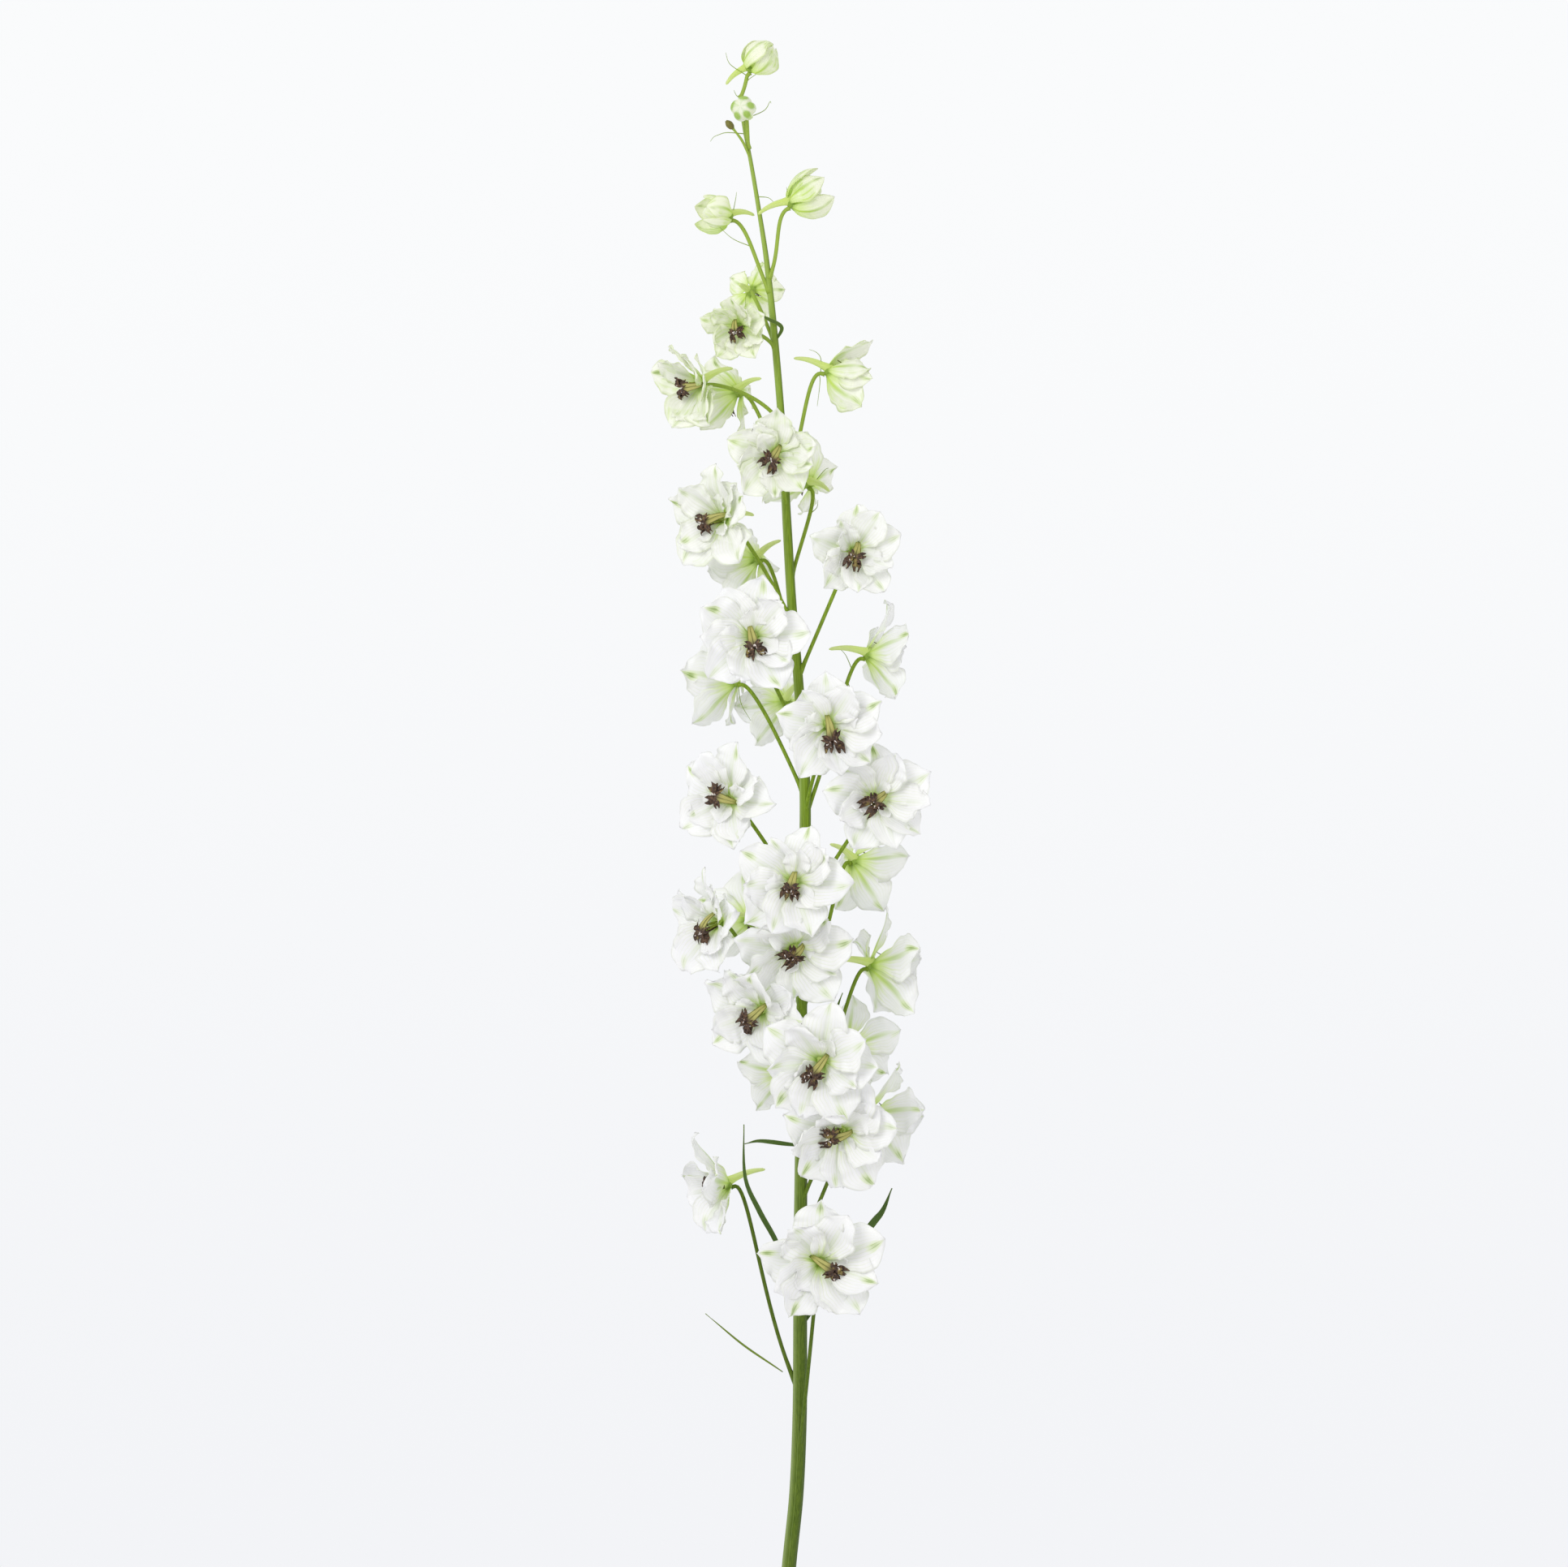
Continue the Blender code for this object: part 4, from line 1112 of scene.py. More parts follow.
def tuft(shape, seat, rng):
    """A pale hair on the dark lobes."""
    size = seat.size
    beside, hang, facing = seat.beside, seat.hang, seat.facing
    start = seat.centre + beside * rng.uniform(-3.4, 3.4) * size + hang * rng.uniform(-1.0, 3.0) * size
    start = start + facing * rng.uniform(0.4, 1.2)
    way = facing * 0.6 + beside * rng.uniform(-0.9, 0.9) + hang * rng.uniform(-0.3, 0.9)
    path = [start, start + way * 0.7, start + way * 1.4 + hang * 0.3]
    round_tube(shape, path, [0.3, 0.24, 0.05], 5, (0, 0, 1), PALE)


def stamen(shape, seat, turn, rng):
    """A thread with its knob."""
    beside, hang, facing = seat.beside, seat.hang, seat.facing
    base = seat.foot + (beside * math.cos(turn) + hang * math.sin(turn)) * 1.1
    spread = beside * math.cos(turn) * 1.7 + hang * (math.sin(turn) * 1.4 + 1.6)
    end = seat.foot + facing * rng.uniform(3.6, 6.4) * seat.size + spread * seat.size
    path = smooth_path([base, base.lerp(end, 0.5) + facing * 0.7, end], 6)
    round_tube(shape, path, [STAMEN_RADIUS] * len(path), 6, (0, 0, 1), STAMEN)
    knob = [end, end + facing * 0.35, end + facing * 0.8, end + facing * 1.0]
    tone = DARK if rng.random() < DARK_KNOBS else STAMEN
    round_tube(shape, knob, [0.12, 0.45, 0.4, 0.1], 7, (0, 0, 1), tone)


def fine_heart(shape, bloom, axes, middle):
    """The crumpled bee of a bloom: strap, dark lobes, pale tufts and stamens."""
    rng = random.Random(bloom.name + " heart")
    seat = heart_seat(bloom, axes, middle)
    for sign in (-1, 1):
        aside = seat.beside * sign
        strap(shape, seat, aside, rng)
        for turn in (rng.uniform(-0.9, -0.3), rng.uniform(0.3, 0.9)):
            side_lobe(shape, seat, aside, turn, rng)
        lower_lobe(shape, seat, sign, rng)
    for _ in range(TUFTS):
        tuft(shape, seat, rng)
    for k in range(STAMENS):
        stamen(shape, seat, math.tau * k / STAMENS + rng.uniform(-0.3, 0.3), rng)


def fine_spur(shape, axes, middle, reach, tone, rng):
    """The horn behind the upper sepal, flared where it leaves it and blunt at its end."""
    shares = np.linspace(FINE_SPUR_ROOT, 1.0, FINE_SPUR_POINTS)
    widths = np.interp(shares, *zip(*SPUR_STATIONS))
    widths = widths + 0.35 * (1 - smooth_step(FINE_SPUR_ROOT, 0.25, shares))
    widths = widths * (1 - 0.55 * smooth_step(0.95, 1.0, shares))
    sway = axes[0] * rng.uniform(-SPUR_SWAY, SPUR_SWAY)
    path = [spur_point(axes, middle, reach, share) + sway * max(share, 0.0) ** 2 for share in shares]
    radii = spur_girth(reach) * widths * 1.04
    round_tube(shape, path, radii, TUBE_SIDES, (0, 0, -2), tone, SPUR_RIDGES, SPUR_RIDGE)


def fine_hub(shape, axes, middle, tone):
    """The green cup that the petals grow from."""
    path = [middle + axes[2] * height for height, _ in FINE_HUB]
    radii = [HUB_RADIUS * share for _, share in FINE_HUB]
    round_tube(shape, path, radii, TUBE_SIDES, (0, 0, -3), tone)


def lobed_bud(shape, axes, middle, reach, rng):
    """The round bud seen from its tip: swollen lobes between sunken pale seams."""
    facing = np.array(axes[2]) + np.array(LOBED_BUD_TURN)
    facing = facing / np.linalg.norm(facing)
    right = np.cross(np.array(axes[1]), facing)
    right = right / np.linalg.norm(right)
    up = np.cross(facing, right)
    rounds = LOBED_BUD_RINGS
    sides = LOBED_BUD_SIDES
    angle = math.tau * np.arange(sides) / sides
    lobe_place = LOBED_BUD_LOBES / 2 * angle + 0.6 * np.sin(angle + 1.0)
    swell = np.abs(np.cos(lobe_place)) ** 0.55
    points = []
    marks = []
    for i in range(rounds + 1):
        polar = math.pi * i / rounds
        ring = math.sin(polar)
        seam = 1.0 - LOBED_BUD_SEAM * (1.0 - swell) * ring**0.5
        dimple = LOBED_BUD_DIMPLE * math.exp(-((polar / 0.5) ** 2))
        radius = reach * LOBED_BUD_RADIUS
        height = radius * (1.05 * math.cos(polar) - dimple) + reach * 0.25
        wide = radius * ring * seam
        spoke = np.outer(np.cos(angle), right) + np.outer(np.sin(angle), up)
        points.append(np.array(middle) + spoke * wide[:, None] + facing * height)
        blotch = swell**2 * math.exp(-(((polar - 0.95) / 0.42) ** 2))
        marks.append(np.stack([np.full(sides, 0.5), 1.0 - swell, 2.0 + blotch], axis=-1))
    faces = []
    for i in range(rounds):
        for k in range(sides):
            a = i * sides + k
            b = i * sides + (k + 1) % sides
            faces.append((a, a + sides, b + sides, b))
    whole = np.concatenate(points)
    shape.add(whole, faces, np.concatenate(marks), (0.4, 0.0, 0.6, rng.random()))


def bloom_tone(bloom, rng, spot):
    """Throat green, tip spot, youth and a random share, for a petal's colouring."""
    youth = smooth_step(*YOUNG_PETALS, bloom.place[1]) * YOUTH
    if bloom.opening < BUD_OPENING:
        youth = 1.0
    throat = rng.uniform(0.65, 1.0)
    return (throat, spot, float(youth), rng.random())


def lips(bloom, rng):
    """Small extra petals near the throat of a full bloom."""
    found = []
    turn = rng.uniform(0, 360)
    for k in range(LIPS):
        found.append(
            Petal(
                angle=turn + 360.0 * k / LIPS + rng.uniform(-25, 25),
                root_height=INNER_ROOT_HEIGHT + 0.5,
                length=bloom.reach * rng.uniform(0.36, 0.6),
                root_lean=rng.uniform(34, 48),
                tip_lean=rng.uniform(70, 98),
                shingle=rng.uniform(-24, 24),
                cup=rng.uniform(0.1, 0.45),
                wave=rng.uniform(-0.06, 0.06),
                stations=INNER_STATIONS,
            )
        )
    return found


def opened(petal, rng):
    """An inner petal leant further out, so that the heart shows."""
    lean = rng.uniform(14, 30)
    return petal._replace(
        length=petal.length * rng.uniform(0.96, 1.12),
        root_lean=petal.root_lean + lean * 0.5,
        tip_lean=petal.tip_lean + lean,
    )


def fine_bloom(bloom, placed, petal_finish):
    """All petals, the spur and the cup of a bloom."""
    shape = Shape()
    rng = random.Random(bloom.name + " fine")
    axes = bloom_axes(bloom)
    middle = Vector(bloom.place)
    bud = bloom.opening < BUD_OPENING
    if bloom.name == LOBED_BUD:
        placed = []
        lobed_bud(shape, axes, middle, bloom.reach, rng)
    for k, (petal, way) in enumerate(placed):
        if bud:
            tone = bloom_tone(bloom, rng, rng.uniform(0.3, 0.8))
            fine_petal(shape, axes, middle, petal, way, rng, tone, bud_form(k))
        elif k < SEPALS:
            tone = bloom_tone(bloom, rng, rng.choice((0.45, 0.8, 1.0)))
            fine_petal(shape, axes, middle, petal, way, rng, tone, sepal_form(rng))
        else:
            tone = bloom_tone(bloom, rng, rng.choice((0.0, 0.0, 0.5, 0.8)))
            fine_petal(shape, axes, middle, opened(petal, rng), way, rng, tone, inner_form(rng))
    if bloom.opening > LIPPED_OPENING and bloom.facing[2] > SIDE_FACING:
        for petal in lips(bloom, rng):
            tone = bloom_tone(bloom, rng, 0.0)
            fine_petal(shape, axes, middle, petal, (0, 0, 1.0), rng, tone, inner_form(rng))
    fine_spur(shape, axes, middle, bloom.reach, bloom_tone(bloom, rng, 0.0), rng)
    fine_hub(shape, axes, middle, bloom_tone(bloom, rng, 0.0))
    if bud and placed:
        stations = CORE_STATIONS + ((0.66, 0.02),)
        path = smooth_path([middle + axes[2] * bloom.reach * share for share, _ in stations], 12)
        radii = smooth_radii([bloom.reach * row[1] * 0.9 for row in stations], 12)
        tone = bloom_tone(bloom, rng, 0.0)
        round_tube(shape, path, np.maximum(radii, 0.1), TUBE_SIDES, (0.5, 0, 1), tone)
    slot = "bud_green" if bud else "petal_white"
    shape.made(f"{bloom.name}_petals", petal_finish, slot, [bloom.name])


def stalk_path(bloom):
    """Many points along a bloom's stalk, which ends inside its hub."""
    axes = bloom_axes(bloom)
    path = stalk_curve(bloom, axes, FINE_STALK_POINTS)
    return path + [path[-1] + axes[2] * 0.5]


def shaft_path():
    """Many points along the shaft's middle."""
    return smooth_path([row[:3] for row in SHAFT], SHAFT_POINTS)


def smooth_radii(values, count):
    """Values spread smoothly over more points."""
    return smooth_path([(value, 0, 0) for value in values], count)[:, 0]


def fine_stem(finish):
    """The ridged shaft, its stalks, bracts and the withered bud."""
    shape = Shape()
    path = shaft_path()
    radii = smooth_radii([row[3] for row in SHAFT], SHAFT_POINTS)
    path[:, 2] = np.maximum(path[:, 2], radii * 1.02 + LOWEST)
    path[0, 1] = SHAFT[0][1]
    # The first share of a green tone is how much painted highlight and painted shade the green material
    # lays down its sides: all of it on the shaft.
    tone = (1.0, 0.0, 0.0, 1.0)
    round_tube(shape, path, radii, FINE_SHAFT_SIDES, (0, 0, 0), tone, SHAFT_RIDGES, SHAFT_RIDGE)
    for bloom in BLOOMS:
        curve = stalk_path(bloom)
        share = np.linspace(0, 1, len(curve))
        radius = STALK_RADIUS * (1.0 + 0.75 * np.exp(-((share / 0.07) ** 2)))
        radius = radius * (1.0 + 0.5 * smooth_step(0.93, 1.0, share))
        tone = (0.0, float(smooth_step(*YOUNG_STALKS, bloom.place[1])), 0.0, 1.0)
        round_tube(shape, curve, radius, TUBE_SIDES, (0, 0, 1), tone, STALK_RIDGES, STALK_RIDGE)
    for points, greatest in BRACTS:
        fine_bract(shape, points, greatest)
    withered(shape)
    shape.made("stem_green", finish, "leaf_green", ["stem"])


def fine_bract(shape, points, greatest):
    """A narrow leaf folded along its rib."""
    rib = smooth_path(points, BRACT_ROWS)
    v = np.linspace(0.0, 1.0, BRACT_ROWS)
    u = np.linspace(-1.0, 1.0, BRACT_COLUMNS)
    tangent = unit_rows(np.gradient(rib, axis=0))
    across = unit_rows(np.cross(tangent, np.array(UPWARD)))
    normal = np.cross(across, tangent)
    half = greatest * (0.4 + 0.65 * np.sin(math.pi * np.clip(v, 0, 1) ** 0.8)) * (1 - v**7)
    half = np.maximum(half, 0.06)
    spread = half[:, None] * u[None, :]
    lift = 0.35 * half[:, None] * np.abs(u)[None, :]
    lift = lift + 0.12 * greatest * np.sin(11 * v)[:, None] * u[None, :]
    surface = rib[:, None, :] + across[:, None, :] * spread[..., None]
    surface = surface + normal[:, None, :] * lift[..., None]
    thick = np.full((BRACT_ROWS, BRACT_COLUMNS), FINE_BRACT_THICKNESS)
    whole = shell(surface, surface_normals(surface), thick)
    young = 0.9 if greatest < THIN_BRACT else 0.0
    marks = shell_marks(v, u) * (1, 1, 2)
    # The first share of its tone gives the bract half of the painted highlight and shade.
    shape.add(whole, shell_faces(BRACT_ROWS, BRACT_COLUMNS), marks, (0.5, young, 0.0, 1.0))


def withered(shape):
    """The small bud that dried up on its stalk."""
    path = smooth_path([row[0] for row in WITHERED_BUD], WITHERED_POINTS)
    radii = smooth_radii([row[1] for row in WITHERED_BUD], WITHERED_POINTS)
    end = WITHERED_STALK + 2
    round_tube(shape, path[:end], np.maximum(radii[:end], 0.2), 12, (0, 0, 1), (0.0, 0.9, 0.0, 1.0))
    path = path[WITHERED_STALK:]
    radii = np.maximum(radii[WITHERED_STALK:], 0.25)
    round_tube(shape, path, radii, 12, (0, 0, 3), (0.0, 0.0, 1.0, 1.0), 3, 0.16)


def hair(shape, places, roots):
    """One bracteole, as high above the surface as the stalk that it grows from."""
    best = None
    for root in roots:
        for end in (0, -1):
            apart = math.hypot(root[0] - places[end][0], root[1] - places[end][1])
            if best is None or apart < best[0]:
                best = (apart, root, end)
    _, root, end = best
    path = [Vector(root)]
    for k, place in enumerate(places[1:] if end == 0 else places[-2::-1], 1):
        path.append(Vector((place[0], place[1], root[2] + HAIR_RISE * k)))
    radii = np.linspace(*HAIR_RADII, HAIR_POINTS)
    # The first share of its tone gives the hair a fifth of the painted highlight and shade.
    round_tube(shape, smooth_path(path, HAIR_POINTS), radii, 6, (0, 0, 1), (0.2, 0.6, 0.0, 1.0))


def all_hairs(finish):
    """Every hair-like bracteole on the stalks."""
    shape = Shape()
    roots = list(shaft_path())
    for bloom in BLOOMS:
        roots += stalk_path(bloom)
    for places in HAIRS:
        hair(shape, places, roots)
    shape.made("bracteoles", finish, "leaf_green")


def colour(red, green, blue):
    """Linear colour values from the 0 to 255 values of a screen."""
    found = []
    for value in (red, green, blue):
        share = value / 255.0
        found.append(share / 12.92 if share <= 0.04045 else ((share + 0.055) / 1.055) ** 2.4)
    return (*found, 1.0)


class Nodes:
    """Short ways to build a material's nodes."""

    def __init__(self, name):
        self.material = bpy.data.materials.new(name)
        self.material.use_nodes = True
        self.tree = self.material.node_tree
        self.shader = self.tree.nodes["Principled BSDF"]
        self.output = self.tree.nodes["Material Output"]

    def put(self, socket, value):
        """Link a socket to a node's output, or set it to a number or colour."""
        if hasattr(value, "is_output"):
            self.tree.links.new(value, socket)
        else:
            socket.default_value = value

    def math(self, operation, *values):
        node = self.tree.nodes.new("ShaderNodeMath")
        node.operation = operation
        for socket, value in zip(node.inputs, values):
            self.put(socket, value)
        return node.outputs[0]

    def line(self, value, slope, start):
        """A value times a slope, plus a start."""
        return self.math("MULTIPLY_ADD", value, slope, start)

    def range(self, value, low, high):
        """A smooth step of a value, from 0 at low to 1 at high."""
        node = self.tree.nodes.new("ShaderNodeMapRange")
        node.interpolation_type = "SMOOTHSTEP"
        self.put(node.inputs["Value"], value)
        self.put(node.inputs["From Min"], low)
        self.put(node.inputs["From Max"], high)
        return node.outputs[0]

    def mix(self, share, first, second):
        node = self.tree.nodes.new("ShaderNodeMix")
        node.data_type = "RGBA"
        self.put(node.inputs[MIX_FACTOR], share)
        self.put(node.inputs[MIX_FIRST], first)
        self.put(node.inputs[MIX_SECOND], second)
        return node.outputs[MIX_RESULT]

    def over(self, base, tint, *shares):
        """A tint laid over a colour by the product of some shares."""
        amount = shares[0]
        for share in shares[1:]:
            amount = self.math("MULTIPLY", amount, share)
        return self.mix(amount, base, tint)

    def mark(self):
        """Place along, place across and side or kind."""
        node = self.tree.nodes.new("ShaderNodeAttribute")
        node.attribute_name = "mark"
        return self.parts(node.outputs["Vector"])

    def place(self):
        return self.tree.nodes.new("ShaderNodeTexCoord").outputs["Object"]

    def parts(self, vector):
        """The three numbers of a vector."""
        node = self.tree.nodes.new("ShaderNodeSeparateXYZ")
        self.put(node.inputs[0], vector)
        return tuple(node.outputs)

    def tone(self):
        node = self.tree.nodes.new("ShaderNodeAttribute")
        node.attribute_name = "tone"
        parts = self.tree.nodes.new("ShaderNodeSeparateColor")
        self.put(parts.inputs[0], node.outputs["Color"])
        return (*parts.outputs, node.outputs["Alpha"])

    def noise(self, scale, detail, stretch=(1.0, 1.0, 1.0)):
        mapping = self.tree.nodes.new("ShaderNodeMapping")
        self.put(mapping.inputs["Vector"], self.place())
        mapping.inputs["Scale"].default_value = stretch
        node = self.tree.nodes.new("ShaderNodeTexNoise")
        self.put(node.inputs["Vector"], mapping.outputs[0])
        node.inputs["Scale"].default_value = scale
        node.inputs["Detail"].default_value = detail
        return node.outputs["Fac"]

    def bump(self, height, strength, distance):
        node = self.tree.nodes.new("ShaderNodeBump")
        node.inputs["Strength"].default_value = strength
        node.inputs["Distance"].default_value = distance
        self.put(node.inputs["Height"], height)
        self.put(self.shader.inputs["Normal"], node.outputs[0])
        return node.outputs[0]

    def thin(self, tint, share, bumped):
        """Lets light through: a translucent share beside the shader's own."""
        through = self.tree.nodes.new("ShaderNodeBsdfTranslucent")
        self.put(through.inputs["Color"], tint)
        self.put(through.inputs["Normal"], bumped)
        both = self.tree.nodes.new("ShaderNodeMixShader")
        both.inputs[0].default_value = share
        self.put(both.inputs[1], self.shader.outputs[0])
        self.put(both.inputs[2], through.outputs[0])
        self.put(self.output.inputs["Surface"], both.outputs[0])


def fan(made, u, rate, turn, width):
    """Lines that fan out along a petal, some number of radians apart across it."""
    waves = made.math("SINE", made.line(u, rate, turn))
    return made.range(made.math("ABSOLUTE", waves), width, 0.0)


def tip_spot(made, v, u, chance, patches, vein):
    """How far each place is from the green spot near a petal's tip."""
    along = made.math("SUBTRACT", v, made.line(chance, SPOT_DRIFT, SPOT_PLACE))
    along = made.math("MULTIPLY", along, SPOT_SHORT)
    across = made.math("ADD", u, made.line(chance, SPOT_SWAY, -SPOT_SWAY / 2))
    across = made.math("MULTIPLY", across, SPOT_NARROW)
    apart = made.math("ADD", made.math("MULTIPLY", along, along), made.math("MULTIPLY", across, across))
    apart = made.math("ADD", apart, made.math("MULTIPLY", patches, SPOT_RAGGED))
    return made.math("SUBTRACT", apart, made.math("MULTIPLY", vein, SPOT_VEINED))


def petal_material():
    """White petals with a green throat, fine veins, a green spot at the tip and greener youth, and a
    painted glow of their own colour that is strongest at the throat.
    """
    made = Nodes("petal")
    v, u, side = made.mark()
    throat, spot, youth, chance = made.tone()
    wide = made.math("ABSOLUTE", u)
    back = made.range(side, 0.0, -1.0)
    patches = made.noise(90.0, 3.0)
    turn = made.line(patches, 2.2, made.math("MULTIPLY", chance, 6.0))
    vein = fan(made, u, 21.0, turn, 0.55)
    broad = fan(made, u, 9.0, turn, 0.8)

    base = made.mix(patches, colour(252, 252, 250), colour(246, 246, 250))
    young = made.mix(patches, colour(251, 252, 230), colour(238, 246, 196))
    base = made.over(base, young, youth, 0.5)
    base = made.over(base, colour(221, 228, 196), vein, made.line(made.range(v, 1.0, 0.3), 0.36, 0.05))
    lime = made.range(patches, 0.5, 0.62)
    base = made.over(base, colour(200, 226, 96), lime, youth, made.line(broad, 0.5, 0.25))
    edge = made.range(wide, 0.8, 1.0)
    base = made.over(base, colour(214, 230, 150), edge, made.line(youth, 0.55, 0.06))

    rib = made.math("MULTIPLY", made.range(wide, 0.2, 0.02), made.range(v, 1.02, 0.25))
    strength = made.line(youth, 0.3, made.line(back, 0.6, 0.1))
    base = made.over(base, colour(186, 214, 100), rib, strength)
    # How far the throat's own yellow-green reaches up a petal; the same mask makes the painted glow below
    # strongest there.
    reach = made.line(broad, 0.16, 0.3)
    reach = made.line(youth, 0.12, reach)
    reach = made.line(back, 0.16, reach)
    throat_green_and_glow = made.math("MULTIPLY", made.range(v, reach, 0.02), made.line(throat, 0.5, 0.4))
    base = made.mix(throat_green_and_glow, base, colour(202, 224, 98))
    base = made.over(base, colour(126, 166, 30), made.range(v, 0.15, 0.0), throat, 0.85)

    apart = tip_spot(made, v, u, chance, patches, vein)
    base = made.over(base, colour(200, 222, 118), made.range(apart, 1.5, 0.3), spot, 0.6)
    base = made.over(base, colour(124, 160, 44), made.range(apart, 0.75, 0.2), spot, 0.78)

    ball = made.range(side, 1.4, 1.5)
    base = made.over(base, colour(160, 196, 72), ball, made.range(side, 2.1, 2.7), 0.85)
    base = made.over(base, colour(250, 248, 226), ball, made.range(u, 0.3, 0.8), 0.9)
    base = made.over(base, colour(216, 230, 140), made.range(side, -1.5, -1.9), 0.8)
    base = made.over(base, colour(140, 172, 62), made.range(side, -2.5, -2.9), 0.85)

    made.put(made.shader.inputs["Base Color"], base)
    # Painted glow: the petals give off light of their own colour, a little everywhere and most at the
    # throat, brightening their shaded folds and throat.
    lit = made.mix(made.line(throat_green_and_glow, THROAT_GLOW - PETAL_GLOW, PETAL_GLOW), BLACK, base)
    made.put(made.shader.inputs["Emission Color"], lit)
    made.shader.inputs["Emission Strength"].default_value = 1.0
    made.shader.inputs["Roughness"].default_value = 0.55
    made.shader.inputs["Specular IOR Level"].default_value = 0.25
    bumped = made.bump(made.line(broad, -0.5, patches), 0.25, 0.0005)
    made.thin(base, 0.34, bumped)
    return made.material


def stem_material():
    """Fresh green, darker and streaked towards the cut end, yellower on young stalks, with a painted
    highlight down one side of the shaft and painted shade down the other.
    """
    made = Nodes("green")
    _, u, kind = made.mark()
    shaft, young, brown, _ = made.tone()
    _, along, _ = made.parts(made.place())
    streaks = made.noise(160.0, 4.0, (12.0, 0.3, 12.0))
    patches = made.noise(55.0, 2.0)
    lines = made.range(streaks, 0.3, 0.7)
    base = made.mix(lines, colour(134, 162, 40), colour(100, 128, 14))
    low = made.mix(lines, colour(88, 112, 22), colour(58, 84, 0))
    base = made.mix(made.range(along, 0.0, -0.22), base, low)
    base = made.over(base, colour(158, 184, 84), made.range(along, 0.12, 0.34), 0.7)
    base = made.over(base, colour(160, 184, 70), young, 0.35)
    base = made.over(base, colour(132, 146, 70), patches, 0.22)
    # Painted highlight and painted shade: a lighter band down one side and a darker band down the other,
    # as from light on the left, scaled by the first tone share (shaft): full on the shaft, half on bracts,
    # a fifth on hairs.
    for around, tint in ((0.8, colour(168, 188, 116)), (0.2, colour(50, 72, 4))):
        apart = made.math("ABSOLUTE", made.math("SUBTRACT", u, around))
        base = made.over(base, tint, made.range(apart, 0.17, 0.02), shaft, 0.45)
    leafy = made.range(kind, 1.5, 1.9)
    base = made.over(base, colour(66, 92, 44), leafy, made.range(young, 0.9, 0.1), 0.75)
    base = made.mix(brown, base, made.mix(streaks, colour(66, 46, 36), colour(150, 150, 70)))
    made.put(made.shader.inputs["Base Color"], base)
    made.shader.inputs["Roughness"].default_value = 0.48
    made.shader.inputs["Specular IOR Level"].default_value = 0.2
    made.bump(streaks, 0.35, 0.0004)
    return made.material


def heart_material():
    """Dark crumpled brown with olive flecks, a beige strap, pale tufts and green stamens."""
    made = Nodes("heart")
    v, u, _ = made.mark()
    brown, green, pale, _ = made.tone()
    flecks = made.noise(900.0, 3.0)
    dark = made.mix(made.range(flecks, 0.4, 0.72), colour(54, 36, 27), colour(112, 82, 56))
    dark = made.mix(made.range(made.noise(300.0, 2.0), 0.58, 0.7), dark, colour(138, 122, 66))
    strap = made.mix(made.range(v, 0.0, 0.3), colour(96, 116, 12), colour(176, 172, 98))
    strap = made.mix(made.range(made.math("ABSOLUTE", u), 0.45, 0.95), strap, colour(112, 112, 44))
    strap = made.mix(made.range(v, 0.55, 0.95), strap, colour(74, 54, 40))
    stamen = made.mix(flecks, colour(168, 180, 74), colour(132, 146, 44))
    base = made.mix(brown, stamen, dark)
    base = made.over(base, strap, made.range(brown, 0.2, 0.5), made.range(green, 0.2, 0.4))
    base = made.mix(made.range(pale, 0.5, 0.9), base, colour(240, 232, 226))
    made.put(made.shader.inputs["Base Color"], base)
    made.shader.inputs["Roughness"].default_value = 0.6
    made.bump(flecks, 0.6, 0.0003)
    return made.material


def lamp(name, place, size, power):
    """A soft square lamp that faces the origin."""
    light = bpy.data.lights.new(name, "AREA")
    light.size = size
    light.energy = power
    obj = bpy.data.objects.new(name, light)
    obj.location = place
    obj.rotation_euler = (-Vector(place)).to_track_quat("-Z", "Y").to_euler()
    bpy.context.scene.collection.objects.link(obj)


def floor_material():
    """An evenly lit pale ground, a little whiter towards the spike's tip."""
    made = Nodes("floor")
    _, along, _ = made.parts(made.place())
    shade = made.mix(made.range(along, -0.4, 0.4), colour(243, 244, 247), colour(250, 251, 252))
    light = made.tree.nodes.new("ShaderNodeEmission")
    made.put(light.inputs["Color"], shade)
    light.inputs["Strength"].default_value = 1.0
    made.put(made.output.inputs["Surface"], light.outputs[0])
    return made.material


def stage():
    """A pale floor, soft light from above and the left, and the camera looking straight down."""
    mesh = bpy.data.meshes.new("floor")
    corners = [(-FLOOR, -FLOOR, 0), (FLOOR, -FLOOR, 0), (FLOOR, FLOOR, 0), (-FLOOR, FLOOR, 0)]
    mesh.from_pydata(corners, [], [(0, 1, 2, 3)])
    mesh.materials.append(floor_material())
    floor = bpy.data.objects.new("floor", mesh)
    bpy.context.scene.collection.objects.link(floor)

    world = bpy.data.worlds.new("studio")
    bpy.context.scene.world = world
    world.use_nodes = True
    background = world.node_tree.nodes["Background"]
    background.inputs["Color"].default_value = (1.0, 0.995, 0.985, 1.0)
    background.inputs["Strength"].default_value = 0.72
    lamp("key light", (-0.9, 0.7, 1.6), 1.0, 15.0)
    lamp("fill light", (1.1, -0.4, 1.4), 1.4, 4.0)

    camera = bpy.data.cameras.new("camera")
    camera.sensor_width = 36.0
    camera.lens = camera.sensor_width * (CAMERA_HEIGHT - SEEN_HEIGHT) / SEEN_WIDTH
    camera.clip_end = 20.0
    obj = bpy.data.objects.new("camera", camera)
    obj.location = (*CAMERA_PLACE, CAMERA_HEIGHT)
    bpy.context.scene.collection.objects.link(obj)
    bpy.context.scene.camera = obj
    bpy.context.scene.view_settings.view_transform = "Standard"


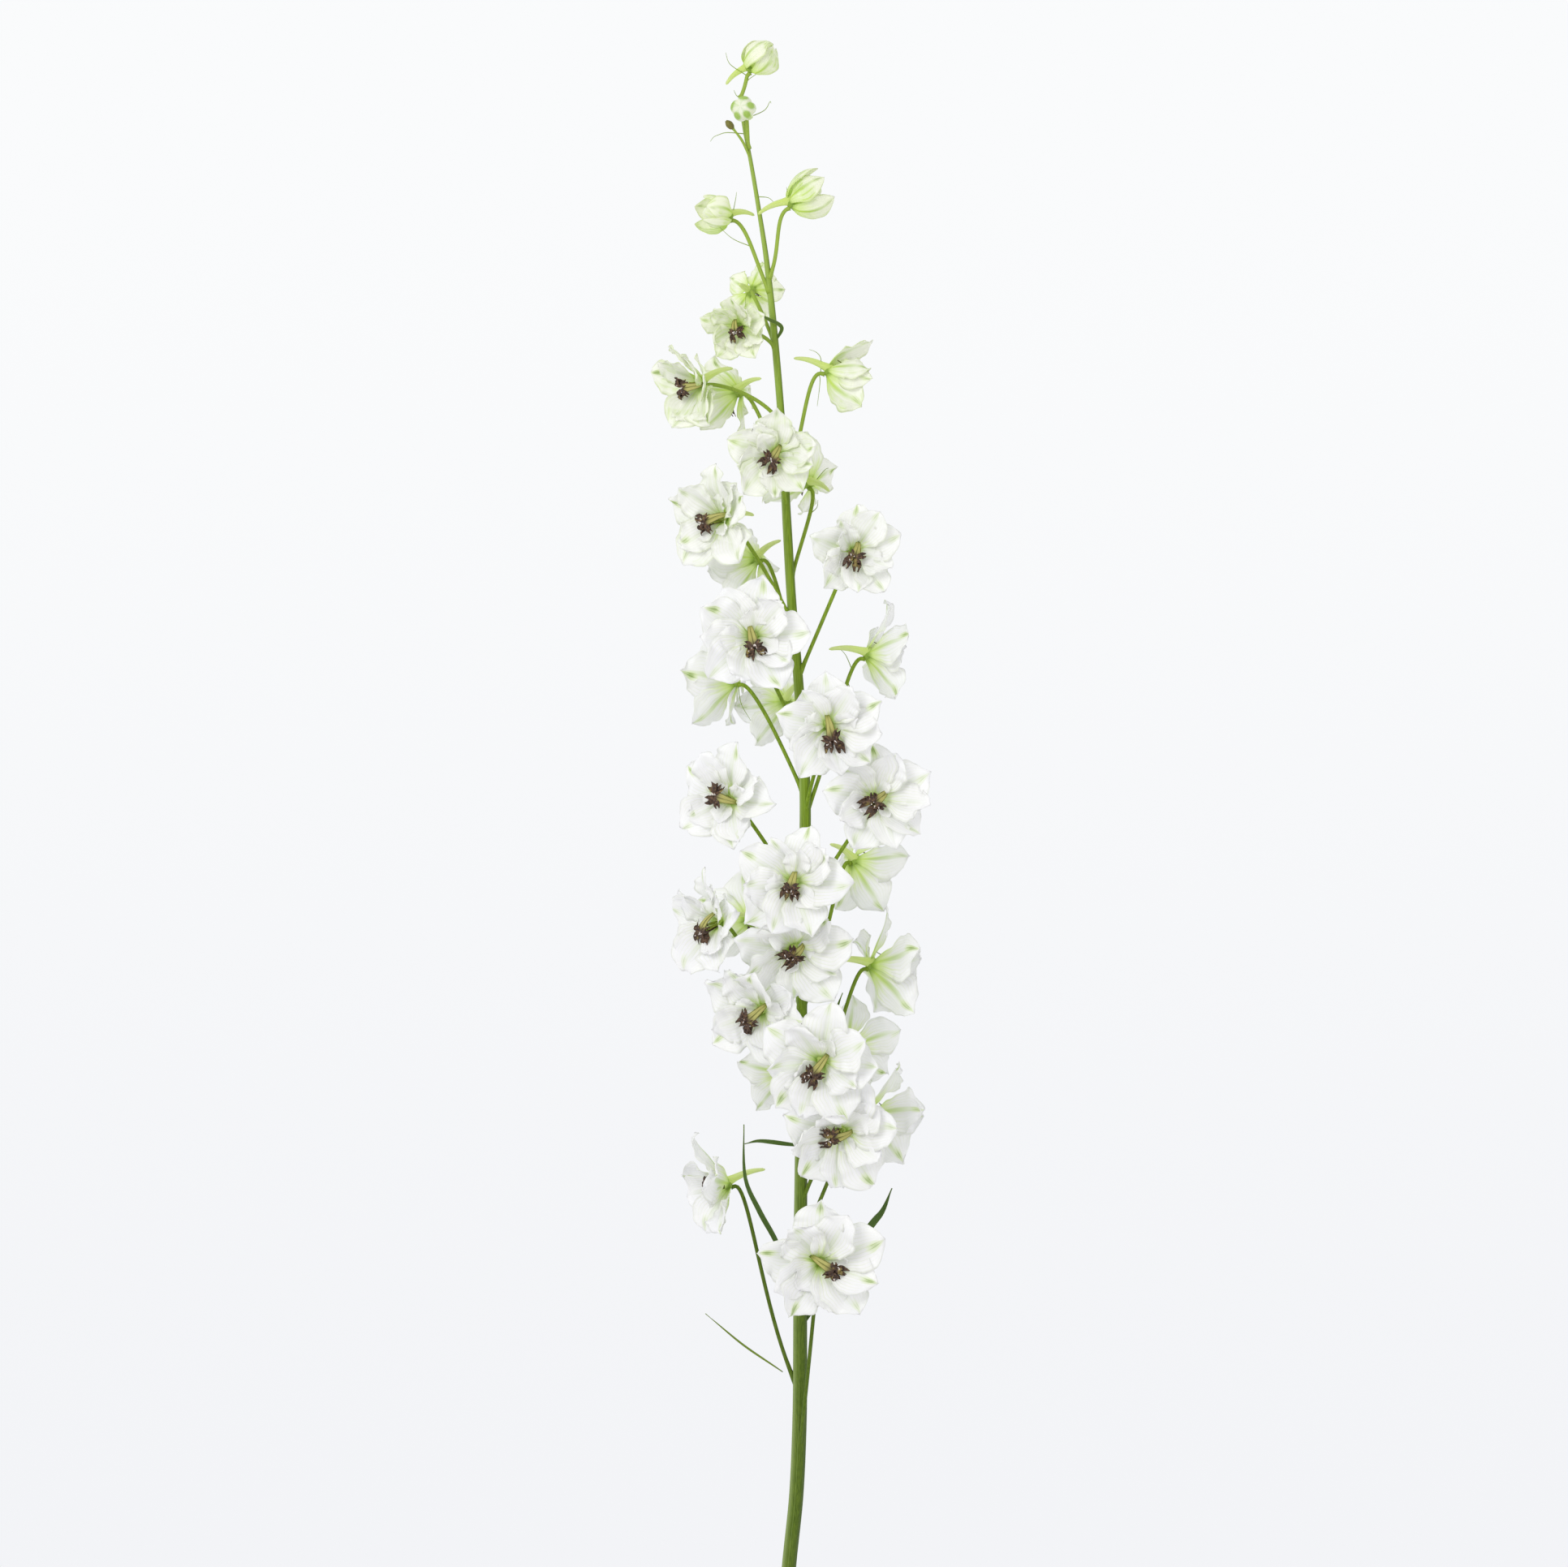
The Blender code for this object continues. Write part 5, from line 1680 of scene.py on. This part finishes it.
def place_petals(stem_tree, middles, hearts):
    """The way each petal is bent, worked out as for the solids."""
    ways = bending_ways()
    middle_trees = {name: search_tree(pieces) for name, pieces in middles.items()}
    heart_trees = {name: search_tree([piece]) for name, piece in hearts.items()}
    petal_trees = {}
    found = {}
    for bloom in sorted(BLOOMS, key=lambda row: -row.place[2]):
        others = [stem_tree] + list(petal_trees.values())
        others += [tree for name, tree in middle_trees.items() if name != bloom.name]
        others += [tree for name, tree in heart_trees.items() if name != bloom.name]
        axes = bloom_axes(bloom)
        middle = Vector(bloom.place)
        placed = []
        for petal in bloom_petals(bloom):
            way = clear_way(axes, middle, petal, ways, others)
            if way:
                placed.append((petal, way))
        found[bloom.name] = placed
        blades = [petal_blade(axes, middle, petal, way) for petal, way in placed]
        petal_trees[bloom.name] = search_tree(blades)
    return found


def main():
    green = green_pieces()
    middles = {bloom.name: bloom_middle(bloom) for bloom in BLOOMS}
    hearts = {}
    for bloom in BLOOMS:
        if has_heart(bloom):
            hearts[bloom.name] = heart(bloom_axes(bloom), Vector(bloom.place), bloom.reach)
    placed = place_petals(search_tree(green), middles, hearts)
    petal_finish = petal_material()
    heart_finish = heart_material()
    stem_finish = stem_material()
    fine_stem(stem_finish)
    all_hairs(stem_finish)
    for bloom in BLOOMS:
        fine_bloom(bloom, placed[bloom.name], petal_finish)
        if bloom.opening >= BUD_OPENING:
            shape = Shape()
            fine_heart(shape, bloom, bloom_axes(bloom), Vector(bloom.place))
            nodes = [f"{bloom.name}_heart"] if has_heart(bloom) else []
            shape.made(f"{bloom.name}_centre", heart_finish, "heart_brown", nodes)
    stage()


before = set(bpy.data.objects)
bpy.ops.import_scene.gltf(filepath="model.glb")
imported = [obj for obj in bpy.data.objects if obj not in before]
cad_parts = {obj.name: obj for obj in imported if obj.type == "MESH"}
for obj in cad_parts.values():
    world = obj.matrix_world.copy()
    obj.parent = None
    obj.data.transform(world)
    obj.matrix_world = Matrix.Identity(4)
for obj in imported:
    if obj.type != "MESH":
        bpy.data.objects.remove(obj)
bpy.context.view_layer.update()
main()
